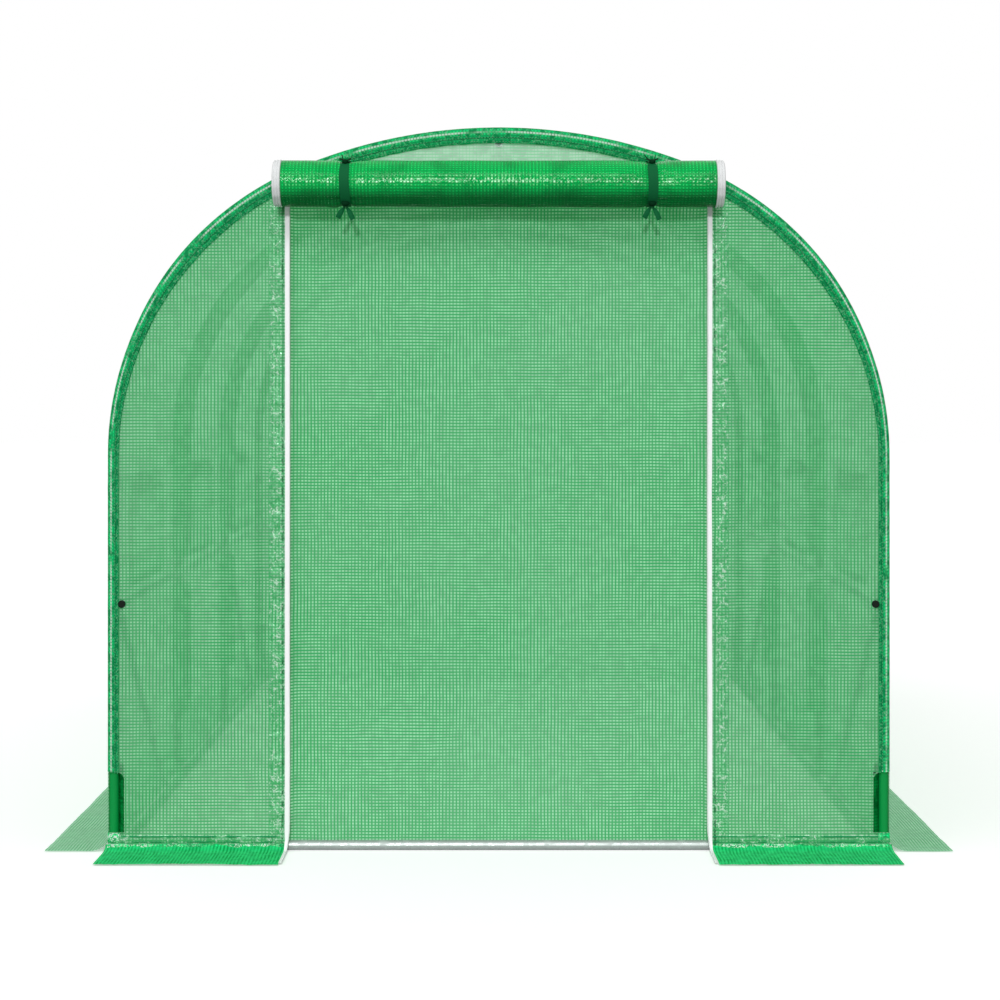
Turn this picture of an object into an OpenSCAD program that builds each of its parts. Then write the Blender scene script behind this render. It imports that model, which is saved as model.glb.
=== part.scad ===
// Walk-in polytunnel greenhouse: four tube hoops on a base frame, under a sewn sheet cover.
// The tunnel runs along Y with its doorway at -Y. The origin is on the ground at the middle of the plan.

/* [Hoops] */
// Distance between the two legs of a hoop, centre to centre
hoop_span = 1970; // [1700:10:2300]
// Height of the straight part of a leg
leg_h = 1010; // [850:10:1200]
// Bend radius at the shoulders, to the tube's centre
shoulder_r = 780; // [600:10:800]
// Bend radius at the crown, to the tube's centre
crown_r = 1312; // [1260:4:1500]
// Distance from one hoop to the next
bay_l = 1000; // [800:10:1200]

/* [Tubes] */
// Outside diameter of the hoops and the base frame
tube_d = 25; // [20:0.5:32]
// Outside diameter of the ridge pole, side rails and braces
rail_d = 19; // [16:0.5:25]
// Wall thickness of every tube
tube_wall = 1; // [0.8:0.1:2]
// Length of the reduced end of a bow inside its leg
spigot_l = 70; // [40:5:120]
// Height of the side rails
side_rail_z = 631; // [560:1:700]
// How far behind its hoop a brace meets the base rail
brace_run = 744; // [600:1:780]
// Length of the flattened end of a brace
brace_tab_l = 34; // [28:1:50]
// Thickness of the flattened end of a brace
brace_tab_t = 3; // [2:0.1:5]
// Length of the black cap that shows at a side rail's end
end_cap_l = 7; // [4:0.5:12]

/* [Cover] */
// Thickness of the sheet
sheet_t = 1.5; // [1:0.1:3]
// Width of the doubled band along the edge of each end
edge_band_w = 34; // [26:1:60]
// Width of the skirts along the sides
side_skirt_w = 158; // [80:1:300]
// Width of the skirts at the front and the back
end_skirt_w = 148; // [80:1:300]
// Width of the corner slots that show the legs
slot_w = 42; // [30:1:60]
// Height of the lower edge of the corner slots
slot_foot = 48; // [35:1:90]
// Height of the upper edge of the corner slots
slot_top = 202; // [150:1:300]
// Half width of a hoop sleeve where it is sewn to the cover
sleeve_half_w = 42; // [34:1:60]
// How far a hoop sleeve hangs in from the cover
sleeve_depth = 52; // [44:1:70]
// Height of the lower end of a hoop sleeve
sleeve_foot = 200; // [150:1:300]
// Half length of the gap in a sleeve where a rail passes
sleeve_gap = 42; // [30:1:60]

/* [Doorway] */
// Width of the doorway, from zip to zip
door_w = 1080; // [800:10:1200]
// Height of the top of the doorway
door_top = 1660; // [1500:5:1680]
// Width of a zip tape
zip_w = 12; // [8:0.5:20]
// Diameter of the rolled-up door
roll_d = 117; // [90:1:130]
// Height of the middle of the rolled-up door
roll_z = 1697; // [1690:1:1720]
// How far the zip tape stands out at each end of the roll
roll_zip_w = 27; // [15:1:40]
// Distance between one turn of the roll and the next
roll_pitch = 9; // [6:0.5:12]
// Distance of a tie from the middle of the roll
tie_x = 385; // [250:5:480]
// Width of a tie ribbon
tie_w = 23; // [15:1:35]
// Thickness of a tie ribbon
tie_t = 1.5; // [1:0.1:2]
// Length of a tie's loose tails
tie_tail_l = 28; // [15:1:60]
// How far the inner net door laps behind the panels
net_lap = 16; // [10:1:20]
// Height of the foot of the inner net door
net_foot = 6; // [3:1:20]

/* [Windows] */
// Width of a side window
window_w = 450; // [300:10:600]
// Height of the lower edge of a side window
window_sill = 668; // [645:1:720]
// Height of a side window
window_h = 230; // [150:1:260]
// Corner radius of a side window
window_corner_r = 18; // [5:1:40]
// How far a window's net laps behind the sheet
window_lap = 18; // [10:1:30]
// Diameter of the rolled-up window flap
flap_roll_d = 40; // [30:1:60]
// Distance between one turn of a rolled flap and the next
flap_pitch = 5; // [4:0.5:7]

/* [Hidden] */
$fn = 64;

left = -1;
right = 1;
front = -1;
back = 1;
// Clearance between pieces that lie against each other
seat_gap = 0.3;
// Oversize of a cutter, so that it passes clear of the faces it cuts
cut_over = 5;
// Points in one turn of a rolled sheet
roll_steps = 24;
// Segments of a full turn for the wide arcs of the arch
arc_fn = 360;

half_span = hoop_span / 2;
tube_r = tube_d / 2;
rail_r = rail_d / 2;
hoop_y = [for (i = [0:3]) (i - 1.5) * bay_l];
front_y = hoop_y[0];
back_y = hoop_y[3];

// The hoop is a three-centred arch: two shoulder arcs meet the crown arc where their tangents agree.
shoulder_x = half_span - shoulder_r;
crown_a = asin(shoulder_x / (crown_r - shoulder_r));
crown_z = leg_h - (crown_r - shoulder_r) * cos(crown_a);
crown_top = crown_z + crown_r;

// Offsets from the tube's centre to the faces of the cover, alike on the roof and at the ends
cover_in = tube_r + seat_gap;
cover_out = cover_in + sheet_t;
band_out = cover_out + sheet_t;

rail_x = half_span - tube_r - seat_gap - rail_r;
base_rail_x = half_span - 2 * tube_r - seat_gap;
ridge_z = crown_top - tube_r - seat_gap - rail_r;
rail_half_l = 1.5 * bay_l + cover_in;
zip_out_x = door_w / 2 + zip_w / 2;
zip_in_x = door_w / 2 - zip_w / 2;
roll_r = roll_d / 2;
tie_in_r = roll_r + seat_gap;
tie_out_r = tie_in_r + tie_t;
roll_y = front_y - cover_out - seat_gap - tie_out_r;
flap_r = flap_roll_d / 2;
net_front_y = front_y + tube_r + seat_gap;
net_half_w = door_w / 2 + net_lap;
net_top = door_top + net_lap;

// The angle that a length takes up along an arc
function arc_a(l, r) = l / r * 180 / PI;

// Sweeps a profile about an axis along Y through (x, z), from angle a0 to a1 above +X.
module swing(x, z, a0, a1) {
    translate([x, 0, z]) rotate([90, 0, 0]) rotate([0, 0, a0])
        rotate_extrude(angle = a1 - a0, $fn = arc_fn) children();
}

// One shoulder of the arch. The profile's X is the offset out from the hoop's centre line.
// It stops short of its two ends by gaps measured along the arc.
module shoulder_sweep(side, foot_gap = 0, top_gap = 0) {
    mirror([side == left ? 1 : 0, 0, 0])
        swing(shoulder_x, leg_h, arc_a(foot_gap, shoulder_r), 90 - crown_a - arc_a(top_gap, shoulder_r))
            translate([shoulder_r, 0]) children();
}

// The part of the crown arc from the shoulder's end up to ridge_gap short of the ridge
module half_crown_sweep(side, ridge_gap) {
    mirror([side == left ? 1 : 0, 0, 0])
        swing(0, crown_z, 90 - crown_a, 90 - arc_a(ridge_gap, crown_r)) translate([crown_r, 0]) children();
}

module crown_sweep() {
    swing(0, crown_z, 90 - crown_a, 90 + crown_a) translate([crown_r, 0]) children();
}

// The arch's outline in the plane of a hoop, grown by off from the hoop's centre line: X across, Y up
module arch_outline(off) {
    far = 2 * crown_r;
    ray_x = shoulder_x + far * sin(crown_a);
    ray_z = leg_h + far * cos(crown_a);
    translate([-half_span - off, 0]) square([2 * (half_span + off), leg_h]);
    for (side = [left, right]) intersection() {
        translate([side * shoulder_x, leg_h]) circle(r = shoulder_r + off, $fn = arc_fn);
        polygon([[side * shoulder_x, leg_h], [side * far, leg_h], [side * ray_x, ray_z]]);
    }
    intersection() {
        translate([0, crown_z]) circle(r = crown_r + off, $fn = arc_fn);
        polygon([[-shoulder_x, leg_h], [shoulder_x, leg_h], [ray_x, ray_z], [-ray_x, ray_z]]);
    }
}

// A band along the arch between two offsets, above the height foot
module arch_band(in_off, out_off, foot) {
    difference() {
        arch_outline(out_off);
        arch_outline(in_off);
        translate([-hoop_span, -cut_over]) square([2 * hoop_span, foot + cut_over]);
    }
}

// Stands an outline up across the tunnel as a plate from y to y + t
module stand(y, t) {
    translate([0, y + t, 0]) rotate([90, 0, 0]) linear_extrude(t) children();
}

module tube_section(d, bore_d) {
    difference() {
        circle(d = d);
        circle(d = bore_d);
    }
}

// A straight tube of length l along +Z
module tube(d, l) {
    linear_extrude(l) tube_section(d, d - 2 * tube_wall);
}

// A straight tube along Y, centred on y = 0
module tube_along_y(d, l) {
    rotate([90, 0, 0]) translate([0, 0, -l / 2]) tube(d, l);
}

module hoop_legs(y) {
    color("seagreen") for (side = [left, right])
        translate([side * half_span, y, 0]) tube(tube_d, leg_h);
}

// The bent top of a hoop in three pieces: two shoulders and a crown. The shoulders have reduced ends
// that go down inside the legs, and the crown has reduced ends that go down inside the shoulders.
module hoop_bow(y) {
    step_l = 3 * tube_wall;
    bore = tube_d - 2 * tube_wall;
    spigot_d = bore - 2 * seat_gap;
    spigot_bore = spigot_d - 2 * tube_wall;
    step_d = tube_d - tube_wall;
    step_bore = spigot_bore - tube_wall;
    shoulder_l = shoulder_r * (90 - crown_a) * PI / 180;
    crown_l = crown_r * crown_a * PI / 180;
    color("seagreen") translate([0, y, 0]) {
        for (side = [left, right]) {
            shoulder_sweep(side, 0, seat_gap) tube_section(tube_d, bore);
            translate([side * half_span, 0, leg_h - spigot_l])
                linear_extrude(spigot_l) tube_section(spigot_d, spigot_bore);
            shoulder_sweep(side, 0, shoulder_l - step_l) tube_section(step_d, step_bore);
            shoulder_sweep(side, shoulder_l - spigot_l, -tube_wall) tube_section(spigot_d, spigot_bore);
            half_crown_sweep(side, crown_l - step_l) tube_section(step_d, step_bore);
        }
        crown_sweep() tube_section(tube_d, bore);
    }
}

module ridge_pole() {
    color("silver") translate([0, 0, ridge_z]) tube_along_y(rail_d, 2 * rail_half_l - 2 * seat_gap);
}

module side_rail(side) {
    color("silver") translate([side * rail_x, 0, side_rail_z]) tube_along_y(rail_d, 2 * rail_half_l);
}

// A plug in a rail's end, with a rounded head that shows through the end panel
module end_cap() {
    plug_d = rail_d - 2 * tube_wall - 2 * seat_gap;
    edge_r = end_cap_l / 3;
    rotate_extrude() difference() {
        union() {
            translate([0, -2 * end_cap_l]) square([plug_d / 2, 2 * end_cap_l]);
            square([rail_r - edge_r, end_cap_l]);
            square([rail_r, end_cap_l - edge_r]);
            translate([rail_r - edge_r, end_cap_l - edge_r]) circle(r = edge_r);
        }
        translate([-rail_d, -3 * end_cap_l]) square([rail_d, 5 * end_cap_l]);
    }
}

module rail_end_caps() {
    color("black") for (side = [left, right]) for (way = [front, back])
        translate([side * rail_x, way * rail_half_l, side_rail_z]) rotate([-way * 90, 0, 0]) end_cap();
}

// Base rails lie inside the legs and end against the base tubes.
module base_rail(side) {
    color("silver") translate([side * base_rail_x, 0, tube_r])
        tube_along_y(tube_d, 3 * bay_l - tube_d - 2 * seat_gap);
}

// A base tube joins the feet of an end hoop, with ends hollowed to fit round the legs.
module base_tube(y) {
    color("silver") translate([0, y, 0]) difference() {
        translate([-half_span, 0, tube_r]) rotate([0, 90, 0]) tube(tube_d, hoop_span);
        for (side = [left, right]) translate([side * half_span, 0, -cut_over])
            cylinder(r = tube_r + seat_gap, h = tube_d + 2 * cut_over);
    }
}

// A brace slopes from a side rail down to the base rail, lying against the outside of both.
// Its flattened ends carry one bolt hole each.
module brace(side, y) {
    tab_r = brace_tab_l / 2;
    bolt_d = 6.5;
    drop = side_rail_z - tube_r;
    y_top = tube_r + tab_r;
    run = brace_run - y_top;
    brace_l = sqrt(run * run + drop * drop);
    slope_a = atan2(run, drop);
    tab_x = half_span - tube_r;
    translate([side * tab_x, y + y_top, side_rail_z]) mirror([side == left ? 1 : 0, 0, 0])
        rotate([180 + slope_a, 0, 0]) difference() {
            union() {
                translate([rail_r, 0, tab_r]) tube(rail_d, brace_l - 2 * tab_r);
                for (z = [0, brace_l]) translate([0, 0, z]) rotate([0, 90, 0])
                    cylinder(d = rail_d, h = brace_tab_t);
                for (z = [0, brace_l - tab_r]) translate([0, -rail_r, z])
                    cube([brace_tab_t, rail_d, tab_r]);
            }
            for (z = [0, brace_l]) translate([-cut_over, 0, z]) rotate([0, 90, 0])
                cylinder(d = bolt_d, h = brace_tab_t + 2 * cut_over);
        }
}

module braces(side) {
    color("silver") for (i = [0, 2]) brace(side, hoop_y[i]);
}

// A window's outline in the wall's own plane: X along the tunnel, Y up
module window_outline(grow) {
    corner = window_corner_r + grow;
    w = window_w / 2 + grow - corner;
    h = window_h / 2 + grow - corner;
    square([2 * w, 2 * (h + corner)], center = true);
    square([2 * (w + corner), 2 * h], center = true);
    for (sx = [-1, 1]) for (sy = [-1, 1]) translate([sx * w, sy * h]) circle(r = corner);
}

// Stands a plate of thickness t on a side wall, one for each bay, with its inner face at offset x
module at_windows(side, x, t) {
    for (i = [0:2]) translate([side * (x + t / 2), hoop_y[i] + bay_l / 2, window_sill + window_h / 2])
        rotate([90, 0, 90]) translate([0, 0, -t / 2]) linear_extrude(t) children();
}

module wall_sheet(side) {
    l = 2 * (1.5 * bay_l + cover_in);
    x = half_span + cover_in;
    color("mediumseagreen") difference() {
        translate([side == left ? -x - sheet_t : x, -l / 2, 0]) cube([sheet_t, l, leg_h]);
        at_windows(side, x - cut_over, sheet_t + 2 * cut_over) window_outline(0);
    }
}

module roof_sheet() {
    l = 2 * (1.5 * bay_l + cover_in);
    color("mediumseagreen") stand(-l / 2, l) arch_band(cover_in, cover_out, leg_h);
}

// What an end panel leaves open: the corner slots, through which the legs show, and the rail caps' holes
module end_panel_holes() {
    corner = slot_w / 3;
    h = slot_top - slot_foot;
    for (side = [left, right]) mirror([side == left ? 1 : 0, 0]) {
        translate([half_span + cover_out - slot_w, slot_foot]) {
            square([slot_w + cut_over, h - corner]);
            translate([corner, 0]) square([slot_w - corner + cut_over, h]);
            translate([corner, h - corner]) circle(r = corner);
        }
        translate([rail_x, side_rail_z]) circle(r = rail_r + seat_gap);
    }
}

module front_panel(side) {
    w = half_span + cover_out - zip_out_x;
    color("mediumseagreen") stand(front_y - cover_out, sheet_t) difference() {
        intersection() {
            arch_outline(cover_out);
            translate([side == left ? -zip_out_x - w : zip_out_x, 0]) square([w, crown_top + cover_out]);
        }
        end_panel_holes();
    }
}

module front_gable_panel() {
    color("mediumseagreen") stand(front_y - cover_out, sheet_t) intersection() {
        arch_outline(cover_out);
        translate([-zip_out_x, door_top]) square([2 * zip_out_x, crown_top + cover_out - door_top]);
    }
}

module back_panel() {
    color("mediumseagreen") stand(back_y + cover_in, sheet_t) difference() {
        arch_outline(cover_out);
        end_panel_holes();
    }
}

// The doubled edge of an end, on the outside of its panels, down to the corner slots
module edge_band(y) {
    color("green") stand(y, sheet_t) difference() {
        arch_band(cover_out - edge_band_w, cover_out, slot_top);
        end_panel_holes();
    }
}

// A loose pocket round a hoop, sewn to the inside of the cover at both edges
module sleeve_section() {
    loop_r = (sleeve_half_w * sleeve_half_w + sleeve_depth * sleeve_depth) / (2 * sleeve_depth);
    intersection() {
        translate([cover_in - sleeve_depth + loop_r, 0]) difference() {
            circle(r = loop_r);
            circle(r = loop_r - sheet_t);
        }
        translate([cover_in - 3 * loop_r, -2 * loop_r]) square([3 * loop_r, 4 * loop_r]);
    }
}

// A sleeve stops above the foot, at the side rail and at the ridge pole. It is sewn from lengths that meet
// where the bend changes.
module hoop_sleeve(y) {
    lower_top = side_rail_z - sleeve_gap;
    upper_foot = side_rail_z + sleeve_gap;
    color("green") translate([0, y, 0]) for (side = [left, right]) {
        mirror([side == left ? 1 : 0, 0, 0]) translate([half_span, 0, 0]) {
            translate([0, 0, sleeve_foot]) linear_extrude(lower_top - sleeve_foot) sleeve_section();
            translate([0, 0, upper_foot]) linear_extrude(leg_h - upper_foot) sleeve_section();
        }
        shoulder_sweep(side, seat_gap, seat_gap) sleeve_section();
        half_crown_sweep(side, sleeve_gap) sleeve_section();
    }
}

module side_skirt(side) {
    l = 2 * (1.5 * bay_l + cover_out);
    x = half_span + cover_out;
    color("mediumseagreen") translate([side == left ? -x - side_skirt_w : x, -l / 2, 0])
        cube([side_skirt_w, l, sheet_t]);
}

module front_skirt(side) {
    w = half_span + cover_out - zip_out_x;
    color("mediumseagreen")
        translate([side == left ? -zip_out_x - w : zip_out_x, front_y - cover_out - end_skirt_w, 0])
            cube([w, end_skirt_w, sheet_t]);
}

module back_skirt() {
    w = half_span + cover_out;
    color("mediumseagreen") translate([-w, back_y + cover_out, 0]) cube([2 * w, end_skirt_w, sheet_t]);
}

// A net that closes the doorway behind the base tube, turned forward at its edges to meet the panels
module inner_net_door() {
    back_face = net_front_y + sheet_t;
    reach = back_face - (front_y - cover_in);
    return_foot = tube_d + tube_r;
    color("darkseagreen") {
        translate([-net_half_w, net_front_y, net_foot]) cube([2 * net_half_w, sheet_t, net_top - net_foot]);
        for (side = [left, right])
            translate([side == left ? -net_half_w : net_half_w - sheet_t, front_y - cover_in, return_foot])
                cube([sheet_t, reach, net_top - return_foot]);
        translate([-net_half_w, front_y - cover_in, net_top - sheet_t])
            cube([2 * net_half_w, reach, sheet_t]);
    }
}

// A zip's tape beside the doorway, which turns out along the edge of the skirt at its foot
module door_zip(side) {
    x = side == left ? -zip_out_x : zip_in_x;
    y = front_y - cover_out;
    color("white") {
        translate([x, y, 0]) cube([zip_w, sheet_t, door_top]);
        translate([x, y - end_skirt_w, 0]) cube([zip_w, end_skirt_w, sheet_t]);
    }
}

// A rolled-up sheet in section, beside a wall at the right: the sheet comes down the wall from a seam tail_l
// above the roll's middle, goes half a turn round at the full radius r and then winds in to the core.
module rolled_section(r, pitch, t, tail_l) {
    turns = floor(r / pitch) - 1;
    core_r = r - pitch * (turns - 0.5);
    steps = turns * roll_steps;
    function radius(i) = min(r, core_r + pitch * i / roll_steps);
    function ray(i) = [cos(360 * i / roll_steps), sin(360 * i / roll_steps)];
    outer = [for (i = [0:steps]) radius(i) * ray(i)];
    inner = [for (i = [steps:-1:0]) (radius(i) - t) * ray(i)];
    polygon(concat(outer, [[r, tail_l], [r - t, tail_l]], inner));
}

// The rolled door sheet from x0 to x1. Its outer end stops at the back of the roll, under the ties.
module roll_along_x(x0, x1) {
    translate([x0, roll_y, roll_z]) rotate([90, 0, 90]) linear_extrude(x1 - x0)
        mirror([0, 1]) rolled_section(roll_r, roll_pitch, sheet_t, 2 * sheet_t);
}

module rolled_door() {
    color("green") roll_along_x(-zip_out_x, zip_out_x);
}

module rolled_zip_ends() {
    color("white") {
        roll_along_x(-zip_out_x - roll_zip_w, -zip_out_x);
        roll_along_x(zip_out_x, zip_out_x + roll_zip_w);
    }
}

// A ribbon round the rolled door, knotted below it with two tails
module roll_tie(side) {
    knot_r = tie_w / 2;
    tail_w = tie_w / 2;
    color("darkgreen") translate([side * tie_x, roll_y, roll_z]) {
        translate([-tie_w / 2, 0, 0]) rotate([0, 90, 0]) difference() {
            cylinder(r = tie_out_r, h = tie_w);
            translate([0, 0, -cut_over]) cylinder(r = tie_in_r, h = tie_w + 2 * cut_over);
        }
        translate([-knot_r / 2, -knot_r, -tie_out_r - knot_r]) cube([knot_r, 2 * knot_r, knot_r + tie_t]);
        for (lean = [-24, 24]) translate([0, -knot_r / 2, -tie_out_r - knot_r / 2]) rotate([0, lean, 0])
            translate([-tail_w / 2, 0, -tie_tail_l]) cube([tail_w, tie_t, tie_tail_l]);
    }
}

module window_nets() {
    color("darkseagreen") for (side = [left, right])
        at_windows(side, half_span + cover_in - seat_gap - sheet_t, sheet_t) window_outline(window_lap);
}

// The flap of each window, rolled up on the outside of the wall and sewn to it above the window
module window_flap_rolls() {
    x = half_span + cover_out + flap_r;
    z = window_sill + window_h + flap_r;
    l = window_w + 2 * window_lap;
    color("green") for (side = [left, right]) for (i = [0:2])
        translate([side * x, hoop_y[i] + bay_l / 2 + l / 2, z]) mirror([side == left ? 0 : 1, 0, 0])
            rotate([90, 0, 0]) linear_extrude(l) rolled_section(flap_r, flap_pitch, sheet_t, 2 * flap_r);
}

hoop_legs(hoop_y[0]);  // front_hoop_legs
hoop_bow(hoop_y[0]);  // front_hoop_bow
hoop_legs(hoop_y[1]);  // second_hoop_legs
hoop_bow(hoop_y[1]);  // second_hoop_bow
hoop_legs(hoop_y[2]);  // third_hoop_legs
hoop_bow(hoop_y[2]);  // third_hoop_bow
hoop_legs(hoop_y[3]);  // back_hoop_legs
hoop_bow(hoop_y[3]);  // back_hoop_bow
ridge_pole();
side_rail(left);  // left_side_rail
side_rail(right);  // right_side_rail
rail_end_caps();
base_rail(left);  // left_base_rail
base_rail(right);  // right_base_rail
base_tube(front_y);  // front_base_tube
base_tube(back_y);  // back_base_tube
braces(left);  // left_braces
braces(right);  // right_braces
wall_sheet(left);  // left_wall_sheet
roof_sheet();
wall_sheet(right);  // right_wall_sheet
front_panel(left);  // front_left_panel
front_panel(right);  // front_right_panel
front_gable_panel();
back_panel();
edge_band(front_y - band_out);  // front_edge_band
edge_band(back_y + cover_out);  // back_edge_band
hoop_sleeve(hoop_y[1]);  // second_hoop_sleeve
hoop_sleeve(hoop_y[2]);  // third_hoop_sleeve
side_skirt(left);  // left_skirt
side_skirt(right);  // right_skirt
front_skirt(left);  // front_left_skirt
front_skirt(right);  // front_right_skirt
back_skirt();
inner_net_door();
rolled_door();
rolled_zip_ends();
door_zip(left);  // left_door_zip
door_zip(right);  // right_door_zip
roll_tie(left);  // left_roll_tie
roll_tie(right);  // right_roll_tie
window_nets();
window_flap_rolls();
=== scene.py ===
"""Sheet cover, sewn details, finishes and stage of a polytunnel greenhouse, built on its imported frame."""

import math

import bpy
import numpy as np
from bpy.props import FloatProperty, FloatVectorProperty, PointerProperty
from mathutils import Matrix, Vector


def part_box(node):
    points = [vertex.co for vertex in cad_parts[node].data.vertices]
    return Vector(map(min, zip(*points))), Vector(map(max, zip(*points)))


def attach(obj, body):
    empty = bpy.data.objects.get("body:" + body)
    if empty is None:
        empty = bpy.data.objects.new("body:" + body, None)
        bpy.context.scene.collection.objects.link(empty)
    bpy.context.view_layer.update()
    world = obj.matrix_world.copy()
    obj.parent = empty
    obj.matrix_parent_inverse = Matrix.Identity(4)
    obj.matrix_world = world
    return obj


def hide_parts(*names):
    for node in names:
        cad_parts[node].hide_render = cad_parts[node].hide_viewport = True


bl_info = {
    "name": "Polytunnel greenhouse",
    "version": (1, 0, 0),
    "blender": (4, 5, 0),
    "location": "View3D > Sidebar > Tunnel",
    "description": "Builds the cover, sewn details and finishes of a polytunnel greenhouse",
    "category": "Object",
}

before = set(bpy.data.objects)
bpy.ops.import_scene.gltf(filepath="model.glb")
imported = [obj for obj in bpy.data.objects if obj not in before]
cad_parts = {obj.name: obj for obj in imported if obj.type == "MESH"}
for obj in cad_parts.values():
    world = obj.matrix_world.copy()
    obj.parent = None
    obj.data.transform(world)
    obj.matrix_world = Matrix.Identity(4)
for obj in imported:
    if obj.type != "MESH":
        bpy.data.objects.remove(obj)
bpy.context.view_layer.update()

LEFT, RIGHT = -1, 1
FRONT, BACK = -1, 1
HOOPS = ("front", "second", "third", "back")


# Properties


def length(name, description, default):
    return FloatProperty(name=name, description=description, default=default, unit="LENGTH", precision=4)


def colour(name, description, default):
    return FloatVectorProperty(
        name=name, description=description, default=default, size=3, subtype="COLOR", min=0.0, max=1.0
    )


class TunnelSizes(bpy.types.PropertyGroup):
    half_span: length("Half span", "Half the distance between a hoop's legs, to the tube's centre", 0.985)
    leg_height: length("Leg height", "Height of the straight part of a leg", 1.010)
    shoulder_radius: length("Shoulder radius", "Bend radius of the hoops at the shoulders", 0.780)
    crown_radius: length("Crown radius", "Bend radius of the hoops at the crown", 1.312)
    tube_radius: length("Tube radius", "Outside radius of a hoop's tube", 0.0125)
    cover_offset: length("Cover offset", "Distance from the tube's centre to the middle of the sheet", 0.0136)
    bay: length("Bay", "Distance from one hoop to the next", 1.0)
    door_half: length("Half doorway", "Half the distance between the two zips", 0.540)
    door_top: length("Doorway top", "Height of the seam at the top of the doorway", 1.660)
    zip_width: length("Zip width", "Width of a zip's tape", 0.012)
    zip_hem: length("Zip hem", "Width of the doubled hem beside a zip", 0.041)
    slot_foot: length("Slot foot", "Height of the lower edge of a corner slot", 0.048)
    slot_top: length("Slot top", "Height of the upper edge of a corner slot", 0.202)
    slot_width: length("Slot width", "Width of a corner slot", 0.042)
    slot_round: length("Slot rounding", "Radius of the rounded upper corner of a corner slot", 0.022)
    rail_x: length("Side rail offset", "Distance of a side rail from the middle", 0.9627)
    rail_z: length("Side rail height", "Height of the side rails", 0.631)
    cap_hole: length("Cap hole", "Radius of the hole for a side rail's cap", 0.0098)
    roll_radius: length("Roll radius", "Radius of the rolled-up door", 0.0585)
    roll_height: length("Roll height", "Height of the middle of the rolled-up door", 1.697)
    roll_pitch: length("Roll pitch", "Distance from one layer of the rolled-up door to the next", 0.0065)
    tie_x: length("Tie offset", "Distance of a tie from the middle of the roll", 0.385)
    tie_width: length("Tie width", "Width of a tie ribbon", 0.025)
    side_skirt: length("Side skirt", "Width of the skirts along the sides", 0.158)
    end_skirt: length("End skirt", "Width of the skirts at the ends", 0.148)
    window_half: length("Half window", "Half the width of a window", 0.225)
    window_sill: length("Window sill", "Height of a window's lower edge", 0.668)
    window_head: length("Window head", "Height of a window's upper edge", 0.898)
    thread_across: length("Thread pitch across", "Distance between the upright threads of the sheet", 0.0087)
    thread_up: length("Thread pitch up", "Distance between the level threads of the sheet", 0.0080)


class TunnelColours(bpy.types.PropertyGroup):
    film: colour("Film", "Thin film between the threads of the cover", (0.52, 0.91, 0.64))
    thread: colour("Thread", "Threads of the cover", (0.056, 0.48, 0.160))
    # pale_thread and gable are lighter copies of the cover's threads and film: painted light for the brighter
    # light through the gable
    pale_thread: colour("Pale thread", "Threads of the gable", (0.40, 0.80, 0.55))
    seam: colour("Seam", "Sewn lines along the hems", (0.008, 0.26, 0.085))
    gable: colour("Gable", "Film of the gable, which has no second layer behind it", (0.92, 1.0, 0.95))
    apron: colour("Front skirt", "Film of the skirts at the ends", (0.028, 0.76, 0.24))
    apron_thread: colour("Front skirt thread", "Threads of the skirts at the ends", (0.004, 0.36, 0.075))
    band: colour("Doubled sheet", "Hems, bands and sleeves", (0.009, 0.43, 0.13))
    # glint_white is the white of painted highlights on the crests of creases and folds in hems, bands and
    # ruffles
    glint_white: colour("Crest", "Crests of the creases, where the film turns white", (0.86, 0.97, 0.90))
    roll: colour("Rolled sheet", "Sheet in many layers", (0.002, 0.46, 0.088))
    tape: colour("Zip tape", "White zip tape", (0.94, 0.96, 0.96))
    ribbon: colour("Ribbon", "Tie ribbon", (0.004, 0.11, 0.034))
    stitch: colour("Stitch", "Sewing thread", (0.10, 0.50, 0.24))
    coated: colour("Coated tube", "Plastic coat of the hoops", (0.001, 0.27, 0.055))
    zinc: colour("Zinc", "Galvanised tube", (0.36, 0.41, 0.39))
    cap: colour("Cap", "Black plastic caps", (0.006, 0.010, 0.007))
    floor: colour("Floor", "Studio floor", (0.93, 0.93, 0.93))


# Shader nodes


class Value:
    """A shader socket that can be used in sums."""

    def __init__(self, graph, socket):
        self.graph, self.socket = graph, socket

    def math(self, operation, *others):
        sockets = {0: self, **dict(enumerate(others, 1))}
        return self.graph.node("ShaderNodeMath", {"operation": operation}, sockets)[0]

    def __add__(self, other):
        return self.math("ADD", other)

    def __mul__(self, other):
        return self.math("MULTIPLY", other)

    def __sub__(self, other):
        return self.math("SUBTRACT", other)

    def __rsub__(self, other):
        return self * -1.0 + other

    def __truediv__(self, other):
        return self.math("DIVIDE", other)

    def __abs__(self):
        return self.math("ABSOLUTE")

    def fract(self):
        return self.math("FRACT")

    def step(self, low, high):
        """0 below low, 1 above high and smooth between them."""
        sockets = {"Value": self, "From Min": low, "From Max": high}
        return self.graph.node("ShaderNodeMapRange", {"interpolation_type": "SMOOTHSTEP"}, sockets)[0]

    def either(self, other):
        return self.math("MAXIMUM", other)


class Outputs:
    """The outputs of one node, by number or by name."""

    def __init__(self, graph, node):
        self.graph, self.node = graph, node

    def __getitem__(self, key):
        return Value(self.graph, self.node.outputs[key])


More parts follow.
